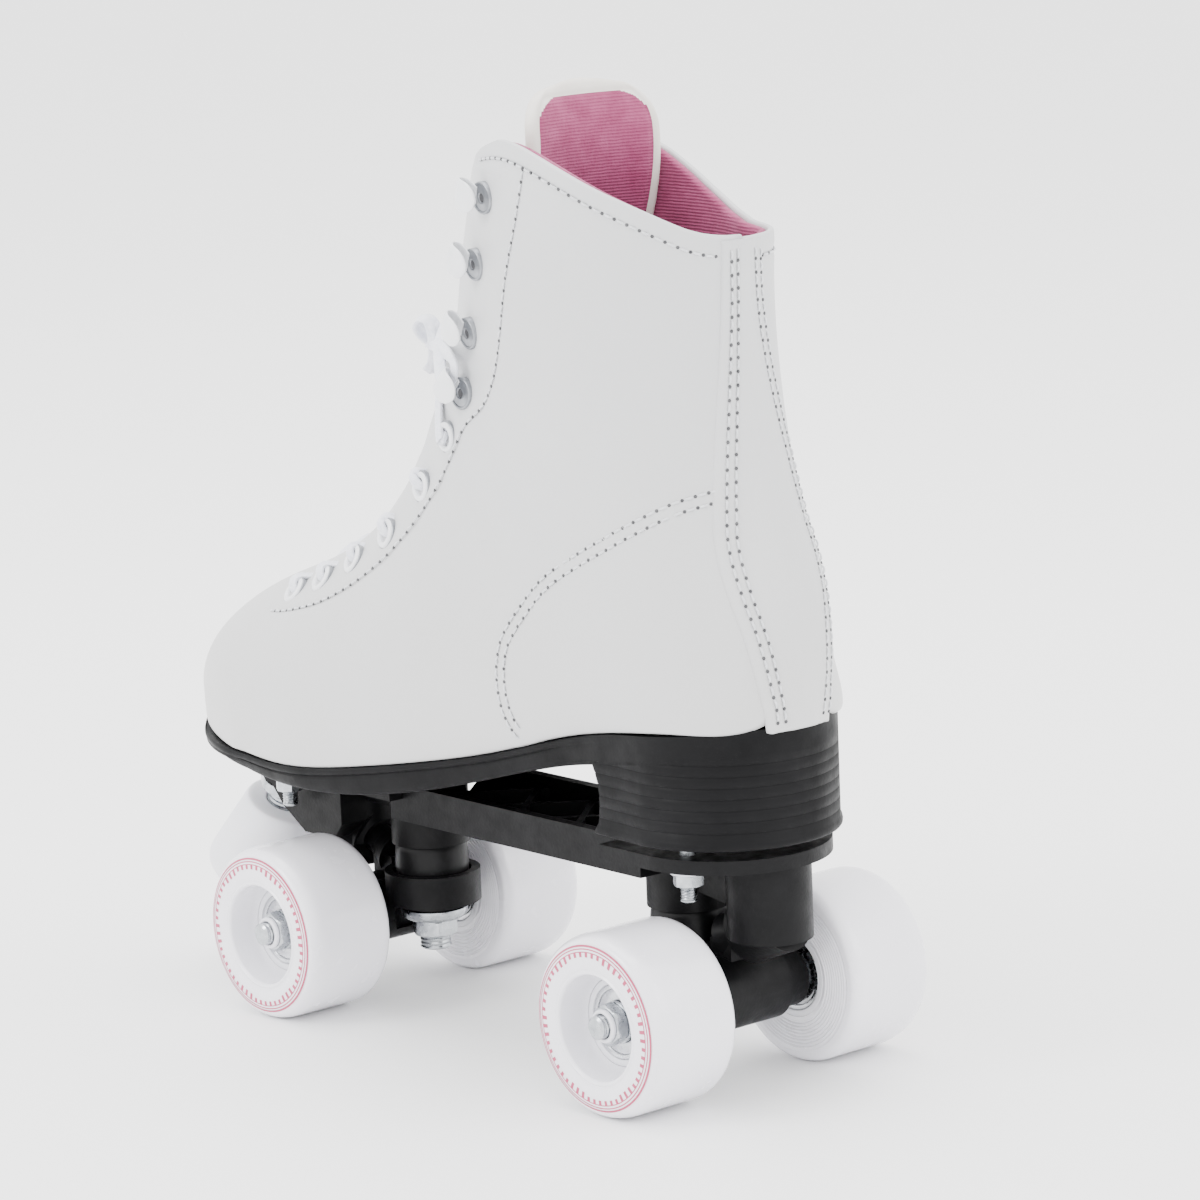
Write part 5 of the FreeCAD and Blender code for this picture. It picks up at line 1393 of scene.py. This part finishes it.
def make_plate_bolts():
    """Four plate bolts with threaded ends, flanged nuts and washers."""
    bolts, nuts = Build(), Build()
    for x in PLATE_BOLT_X:
        for y in (PLATE_BOLT_Y, -PLATE_BOLT_Y):
            lathe(bolts, tube(CORE, 2.4, 64, PLATE_TOP), (x, y, 0), (0, 0, 1), 32)
            threaded_rod(bolts, (x, y, 65), (0, 0, -1), 2.45, 5.8, 0.8)
            washer = tube(2.6, 5.4, 67.4, 68.55)
            lathe(nuts, softened(washer, 0.25, 3), (x, y, 0), (0, 0, 1), 48, 1)
            hex_nut(nuts, (x, y, 63.6), (0, 0, 1), 8.0, 3.8, 2.5)
    bolts.piece("plate_bolt_set", ZINC, replaces=("plate_bolts",), slot="zinc_steel", sharp=30)
    nuts.piece("plate_nut_set", [ZINC, HUB], replaces=("plate_nuts",), slot="zinc_steel", sharp=25)


make_plate_bolts()


# ---------------------------------------------------------------- toe stop

STOP_TILT = math.radians(26)
# Middle of the stop's widest ring.
STOP_RIM = np.array((146.0, 0, 28.0))


def make_toe_stop():
    """The leaning toe stop: rubber pad, threaded stem and lock nut."""
    up = np.array((-math.sin(STOP_TILT), 0, math.cos(STOP_TILT)))
    rim = STOP_RIM
    pad = Build()
    outline = [(CORE, -5.0), (8, -5.0), (15.0, -4.6), (18.2, -2.6), (19.6, -0.6), (19.95, 0.8), (19.6, 2.6),
               (13.2, 25.2), (12.6, 26.2), (11.4, 26.5), (6.4, 26.5), (6.4, 3.9), (CORE, 3.9)]
    lathe(pad, softened(outline, 1.0, 4), rim, up, 96)
    pad.piece("stop_rubber", STOP, body="toe_stop", replaces=("toe_stop_pad",), slot="white_stop", sharp=40)
    stem = Build()
    lathe(stem, tube(CORE, 6.2, 4, 26), rim, up, 40)
    threaded_rod(stem, rim + up * 25.5, up, 6.25, 20.6, 1.5)
    stem.piece("stop_stem_screw", ZINC, body="toe_stop", replaces=("toe_stop_stem",),
               slot="zinc_steel", sharp=30)
    nut = Build()
    hex_nut(nut, rim + up * 31.6, up, 19.0, 4.3, 6.4)
    nut.piece("stop_lock_nut", ZINC, replaces=("toe_stop_nut",), slot="zinc_steel", sharp=25)


make_toe_stop()


# ---------------------------------------------------------------- eyelets and hooks

EYELETS = [(11.97, 0.77), (10.33, 0.76), (8.78, 0.77), (7.52, 0.81), (6.47, 0.83), (5.6, 0.84)]
HOOKS = [(19.4, 0.715), (17.64, 0.765), (15.54, 0.80), (13.63, 0.79)]


def surface_frame(t, share, side, tilt=0.0):
    """Point, outward normal and direction towards the lacing gap; a tilt in degrees leans both back."""
    point = boot_points(t, share, side)
    inward = unit(boot_points(t, share + 0.01, side) - boot_points(t, share - 0.01, side))
    normal = boot_normal(t, share, side)
    lean = math.radians(tilt)
    return (point, normal * math.cos(lean) - inward * math.sin(lean),
            inward * math.cos(lean) + normal * math.sin(lean))


# Degrees by which the eyelets and hooks lean back from the gap.
EYELET_TILT = 13.0
HOOK_TILT = 14.0


def make_eyelets():
    build = Build()
    for t, share in EYELETS:
        for side in (1, -1):
            point, normal, inward = surface_frame(t, share, side, EYELET_TILT)
            flange = [(2.45, -5.0), (2.9, -5.0), (2.95, -1.6), (4.45, -1.4), (4.55, 0.35), (4.2, 0.8),
                      (3.6, 1.0), (2.95, 0.85), (2.5, 0.2)]
            lathe(build, flange, point + normal * 0.35, normal, 48)
            rim = [(4.4, -1.2), (4.9, -1.2), (4.95, 0.1), (4.6, 0.3)]
            lathe(build, rim, point + normal * 0.35, normal, 48, 1)
            # A dark disc deep in the eyelet's bore: painted shade.
            lathe(build, tube(CORE, 2.7, -4.2, -3.9), point, normal, 24, 2)
    build.piece("eyelet_rings", [ENAMEL, GREY, PAINTED_HOLE_SHADE], replaces=("eyelets",), slot="white_enamel", sharp=50)


def hook_foot(build, point, normal):
    """Round foot with a raised rim, a grey recess and the rivet's hole as a dark disc of painted shade."""
    wall = [(3.9, -2.4), (4.7, -2.2), (4.8, 0.35), (4.55, 0.62), (4.2, 0.66), (3.95, 0.48), (3.9, 0.2)]
    lathe(build, wall, point, normal, 48, 1)
    recess = [(2.1, 0.45), (3.3, 0.38), (3.95, 0.3), (3.95, -0.4), (CORE, -0.4), (CORE, 0.05), (1.3, 0.1),
              (1.5, 0.5), (1.8, 0.6)]
    lathe(build, recess[::-1], point, normal, 48, 1)
    lathe(build, [(CORE, 0.02), (1.35, 0.02), (1.35, 0.13), (CORE, 0.14)], point, normal, 24, 2)


# Middle line of a hook's tab: distance towards the gap, and height.
HOOK_CURL = [(2.2, 0.5), (4.0, 0.7), (5.6, 1.1), (6.8, 2.1), (6.9, 3.4), (6.0, 4.4), (4.2, 4.8), (1.6, 4.6),
             (-0.4, 4.2), (-1.8, 3.7)]


def hook_tab(build, point, normal, inward):
    """Wide white tab that leaves the foot towards the gap and curls back over it, round at its end."""
    across = unit(np.cross(normal, inward))
    step = 0.35
    widest = 4.7
    path = even(spline(HOOK_CURL)(np.linspace(0, len(HOOK_CURL) - 1, 300)), step)
    rise = unit(np.stack([-np.gradient(path[:, 1]), np.gradient(path[:, 0])], axis=1))
    grown = step * np.arange(len(path))
    left = step * (len(path) - 1 - np.arange(len(path)))
    neck = np.interp(grown, (0, 4, 8), (0.55, 0.8, 1.0))
    halves = widest * np.sqrt(1 - np.clip(1 - left / widest, 0, 0.995) ** 2) * neck
    rows = []
    for (e, n), half, (re, rn) in zip(path, halves, rise):
        out = inward * re + normal * rn
        centre = point + inward * e + normal * n
        row = []
        for k in range(32):
            a = 2 * math.pi * k / 32
            wide = math.copysign(abs(math.cos(a)) ** 0.4, math.cos(a))
            thick = math.copysign(abs(math.sin(a)) ** 0.7, math.sin(a))
            sag = 0.5 * (1 - wide * wide) * (half / widest)
            row.append(centre + across * half * wide - out * (0.42 * thick + sag))
        rows.append(row)
    count = len(rows)
    build.add(np.array(rows).reshape(-1, 3), grid_faces(count, 32, False, True, flip=True), 0)
    build.add(rows[0], [tuple(range(32))], 0)
    build.add(rows[-1], [tuple(range(32))[::-1]], 0)


def make_hooks():
    """Lace hooks: a nickelled foot with a rivet, and an enamelled tab."""
    build = Build()
    for t, share in HOOKS:
        for side in (1, -1):
            point, normal, inward = surface_frame(t, share, side, HOOK_TILT)
            hook_foot(build, point + normal * 1.1, normal)
            hook_tab(build, point + normal * 1.1, normal, inward)
    build.piece("hook_set", [ENAMEL, GREY, PAINTED_HOLE_SHADE], replaces=("hooks",), slot="white_enamel", sharp=50)


make_eyelets()
make_hooks()


# ---------------------------------------------------------------- laces

LACE_WIDTH = 5.6
LACE_THICK = 1.25


def ribbon(build, points, normals, width=LACE_WIDTH, thick=LACE_THICK, pinch=None, step=0.4):
    """A flat woven lace along a path, with a plait of small chevrons on both faces."""
    line = np.concatenate([points, normals], axis=1)
    line = smooth_path(line, step)
    spots, ups = line[:, :3], unit(line[:, 3:])
    along = unit(np.gradient(spots, axis=0))
    side = unit(np.cross(along, ups))
    ups = np.cross(side, along)
    length = np.arange(len(spots)) * step
    places = np.concatenate([np.linspace(-1, 1, 15), np.linspace(1, -1, 15)[1:-1]])
    face = np.concatenate([np.ones(15), -np.ones(13)])
    squeeze = np.ones(len(spots)) if pinch is None else np.interp(np.linspace(0, 1, len(spots)),
                                                                  *zip(*pinch))
    rows = []
    for k in range(len(spots)):
        w = width / 2 * squeeze[k]
        full = np.sqrt(np.maximum(1 - np.abs(places) ** 3.5, 0.02))
        weave = 0.09 * np.sin(2 * math.pi * (length[k] / 1.7 + np.abs(places) * 1.1)) * (1 - places ** 4)
        fold = 0.22 * np.cos(places * 4.4) * (2 - squeeze[k])
        height = face * (thick / 2 * full / max(squeeze[k], 0.5) ** 0.6) + face * weave + fold - 0.12
        rows.append(spots[k] + np.outer(places * w, side[k]) + np.outer(height, ups[k]))
    build.add(np.concatenate(rows), grid_faces(len(spots), 28, False, True, flip=True))
    build.add(rows[0], [tuple(range(28))])
    build.add(rows[-1], [tuple(range(28))[::-1]])


def ridge_point(t, lift):
    """A point over the middle of the instep, lifted off the surface."""
    section = SECTION_AT(t)
    out = unit(np.array((section[2] - section[0], 0, section[3] - section[1])))
    return np.array((section[2], 0, section[3])) + out * lift, out


def crossing(build, index, side):
    """One strand from an eyelet over the gap, then under the other edge to the next eyelet."""
    low, low_normal, low_in = surface_frame(*EYELETS[index], side, EYELET_TILT)
    high, high_normal, high_in = surface_frame(*EYELETS[index - 1], -side)
    lift = 1.2 if side > 0 else 2.9
    crest, out = ridge_point((EYELETS[index][0] + EYELETS[index - 1][0]) / 2, lift - 1.4)
    across = high - low
    points = [low - low_normal * 2.8, low + low_normal * 1.3 + low_in * 0.6,
              low + low_normal * 2.7 + low_in * 3.4 + across * 0.04,
              low + across * 0.27 + (low_normal + out) * (1.7 + lift * 0.5),
              crest, low + across * 0.72 + (high_normal + out) * (1.0 + lift * 0.3),
              high + high_in * 6.5 - high_normal * 2.2, high - high_normal * 5.2 + high_in * 1.5]
    normals = [low_in * -1, unit(low_normal - low_in * 0.6), low_normal, unit(low_normal + out), out,
               unit(high_normal + out), high_normal, high_normal]
    ribbon(build, np.array(points), np.array(normals), pinch=[(0, 0.6), (0.1, 0.8), (0.2, 1.0), (1, 1.0)])


KNOT = np.array((41.0, 0, 205.0))


def hook_strand(build, side, lift):
    """From a top eyelet over the gap, behind the lowest hook of the other side, to the knot."""
    eye, eye_normal, eye_in = surface_frame(*EYELETS[0], side)
    foot, normal, inward = surface_frame(*HOOKS[-1], -side)
    up = unit(boot_points(HOOKS[-1][0] + 0.05, HOOKS[-1][1], -side) - foot)
    crest, out = ridge_point(12.6, lift)
    points = [eye - eye_normal * 2.6, eye + eye_normal * 0.9 + eye_in * 0.8,
              eye + eye_normal * 2.0 + eye_in * 4.0,
              crest, foot + inward * 10.5 + normal * 2.6 - up * 4.5,
              foot + inward * 4.2 + normal * 3.2 - up * 1.2,
              foot + inward * 4.4 + normal * 3.4 + up * 2.2, foot + inward * 10.5 + normal * 3.6 + up * 4.2,
              KNOT + np.array((0, -side * 6.0, 4.0)), KNOT + np.array((0, -side * 1.5, 1.0))]
    normals = [eye_in * -1, unit(eye_normal - eye_in * 0.6), eye_normal, out, unit(normal + up * 0.4),
               normal, normal, unit(normal - up * 0.3), unit(out + normal * 0.4), out]
    pinch = [(0, 0.5), (0.06, 0.6), (0.15, 0.95), (0.5, 0.85), (1, 0.8)]
    ribbon(build, np.array(points), np.array(normals), pinch=pinch)


def make_laces():
    build = Build()
    for index in range(len(EYELETS) - 1, 0, -1):
        for side in (1, -1):
            crossing(build, index, side)
    hook_strand(build, 1, 1.0)
    hook_strand(build, -1, 2.6)
    bar, out = ridge_point(EYELETS[-1][0], -0.6)
    ends = [surface_frame(*EYELETS[-1], side) for side in (1, -1)]
    (a, an, ai), (b, bn, bi) = ends
    points = [a - an * 2.4, a + an * 1.2 + ai * 1.0, a * 0.75 + b * 0.25 + (an + out) * 1.8, bar + out * 2.0,
              a * 0.25 + b * 0.75 + (bn + out) * 1.8, b + bn * 1.2 + bi * 1.0, b - bn * 2.4]
    normals = [-ai, unit(an - ai * 0.5), unit(an + out), out, unit(bn + out), unit(bn - bi * 0.5), -bi]
    pinch = [(0, 0.5), (0.1, 0.65), (0.25, 0.95), (0.75, 0.95), (0.9, 0.65), (1, 0.5)]
    ribbon(build, np.array(points), np.array(normals), pinch=pinch)
    build.piece("lace_strands", LACE, replaces=("lace",), slot="white_lace")


make_laces()

# One loop of the bow, on the skate's left; the other is its mirror image.
LOOP = [(42.5, 1, 206), (44.5, 4.5, 210), (44, 8, 214), (39.5, 10, 217), (35.2, 10, 215.5),
        (34.4, 9.5, 209.5), (35.8, 9, 203.5), (39, 8.5, 200.5), (42, 5, 201.5), (42.5, 1, 204)]


def make_bow():
    """The knot and its two loops."""
    build = Build()
    for side in (1, -1):
        points = np.array([(x, y * side, z) for x, y, z in LOOP])
        centre = points.mean(axis=0)
        normals = unit(points - centre) + np.array((0.35, 0, 0))
        pinch = [(0, 0.55), (0.15, 0.9), (0.8, 0.9), (1, 0.55)]
        ribbon(build, points, unit(normals), width=5.2, pinch=pinch)
    angles = 2 * math.pi * np.arange(9) / 8
    ups = np.stack([np.cos(angles), 0 * angles, np.sin(angles)], axis=1)
    wrap = KNOT + np.stack([3.0 * np.cos(angles) + 0.8, 0.4 * np.sin(angles), 3.3 * np.sin(angles)], axis=1)
    ribbon(build, wrap, ups, width=5.0)
    core = [(CORE, -2.2), (1.8, -2.0), (2.3, 0), (1.8, 2.0), (CORE, 2.2)]
    lathe(build, core, KNOT + np.array((0.8, 0, 0)), (0, 1, 0), 24)
    build.piece("lace_bow_loops", LACE, replaces=("lace_bow",), slot="white_lace")


make_bow()

# Routes of the two free ends: the same points as the CAD's, from the knot down.
TAIL_UPPER = [(41.5, -5.4, 204), (38.5, -14, 201), (31, -23.5, 194.5), (22.5, -31, 186), (15.5, -36, 175),
              (11.5, -38, 163.5), (10, -40.5, 151.5), (11, -43.5, 140)]
TAIL_LOWER = [(45.8, -2.8, 201.2), (46, -12, 194.5), (39.5, -22.5, 184.8), (32.3, -31.5, 174),
              (27.5, -36.5, 162.5), (27, -39.5, 150), (30, -42.5, 138)]


def route_line(points):
    """The line of a route as Blender's own curve gives it."""
    data = bpy.data.curves.new("route", "CURVE")
    data.dimensions = "3D"
    data.resolution_u = 16
    line = data.splines.new("NURBS")
    line.points.add(len(points) - 1)
    for spot, place in zip(line.points, points):
        spot.co = tuple(place) + (1.0,)
    line.order_u = 3
    line.use_endpoint_u = True
    carrier = bpy.data.objects.new("route", data)
    mesh = bpy.data.meshes.new_from_object(carrier)
    found = np.array([v.co for v in mesh.vertices])
    bpy.data.objects.remove(carrier)
    bpy.data.curves.remove(data)
    bpy.data.meshes.remove(mesh)
    return found


def make_tail(name, route, tip_build):
    """One free end of the lace, which hangs down the skate's inner side."""
    line = route_line(route)
    spine = even(line, 2.0)
    out = unit(np.tile((0.25, -1.0, 0.15), (len(spine), 1)))
    build = Build()
    ribbon(build, spine, out, width=3.0, thick=1.6, pinch=[(0, 0.9), (0.9, 1.0), (1, 0.8)])
    made = build.piece(name + "_ribbon", LACE, replaces=(name,), slot="white_lace")
    end = spine[-1]
    along = unit(np.array(route[-1]) - np.array(route[-2]))
    tip = [(CORE, -1.5), (1.35, -1.5), (1.55, -0.6), (1.5, 13.0), (1.1, 13.9), (CORE, 14)]
    lathe(tip_build, softened(tip, 0.3, 3), end, along, 32)
    return made, line


def make_tails():
    tips = Build()
    tails = [make_tail("lace_tail_upper", TAIL_UPPER, tips), make_tail("lace_tail_lower", TAIL_LOWER, tips)]
    tip_piece = tips.piece("lace_tip_pair", HUB, replaces=("lace_tips",), slot="lace_tip")


make_tails()


# ---------------------------------------------------------------- floor

def make_floor():
    mesh = bpy.data.meshes.new("floor")
    reach = 20.0
    mesh.from_pydata([(-reach, -reach, 0), (reach, -reach, 0), (reach, reach, 0), (-reach, reach, 0)], [],
                     [(0, 1, 2, 3)])
    mesh.materials.append(material("floor", 0.6, ((0.955, 0.955, 0.955), (0.945, 0.945, 0.945)), (3, 2)))
    floor = bpy.data.objects.new("floor", mesh)
    bpy.context.scene.collection.objects.link(floor)


make_floor()
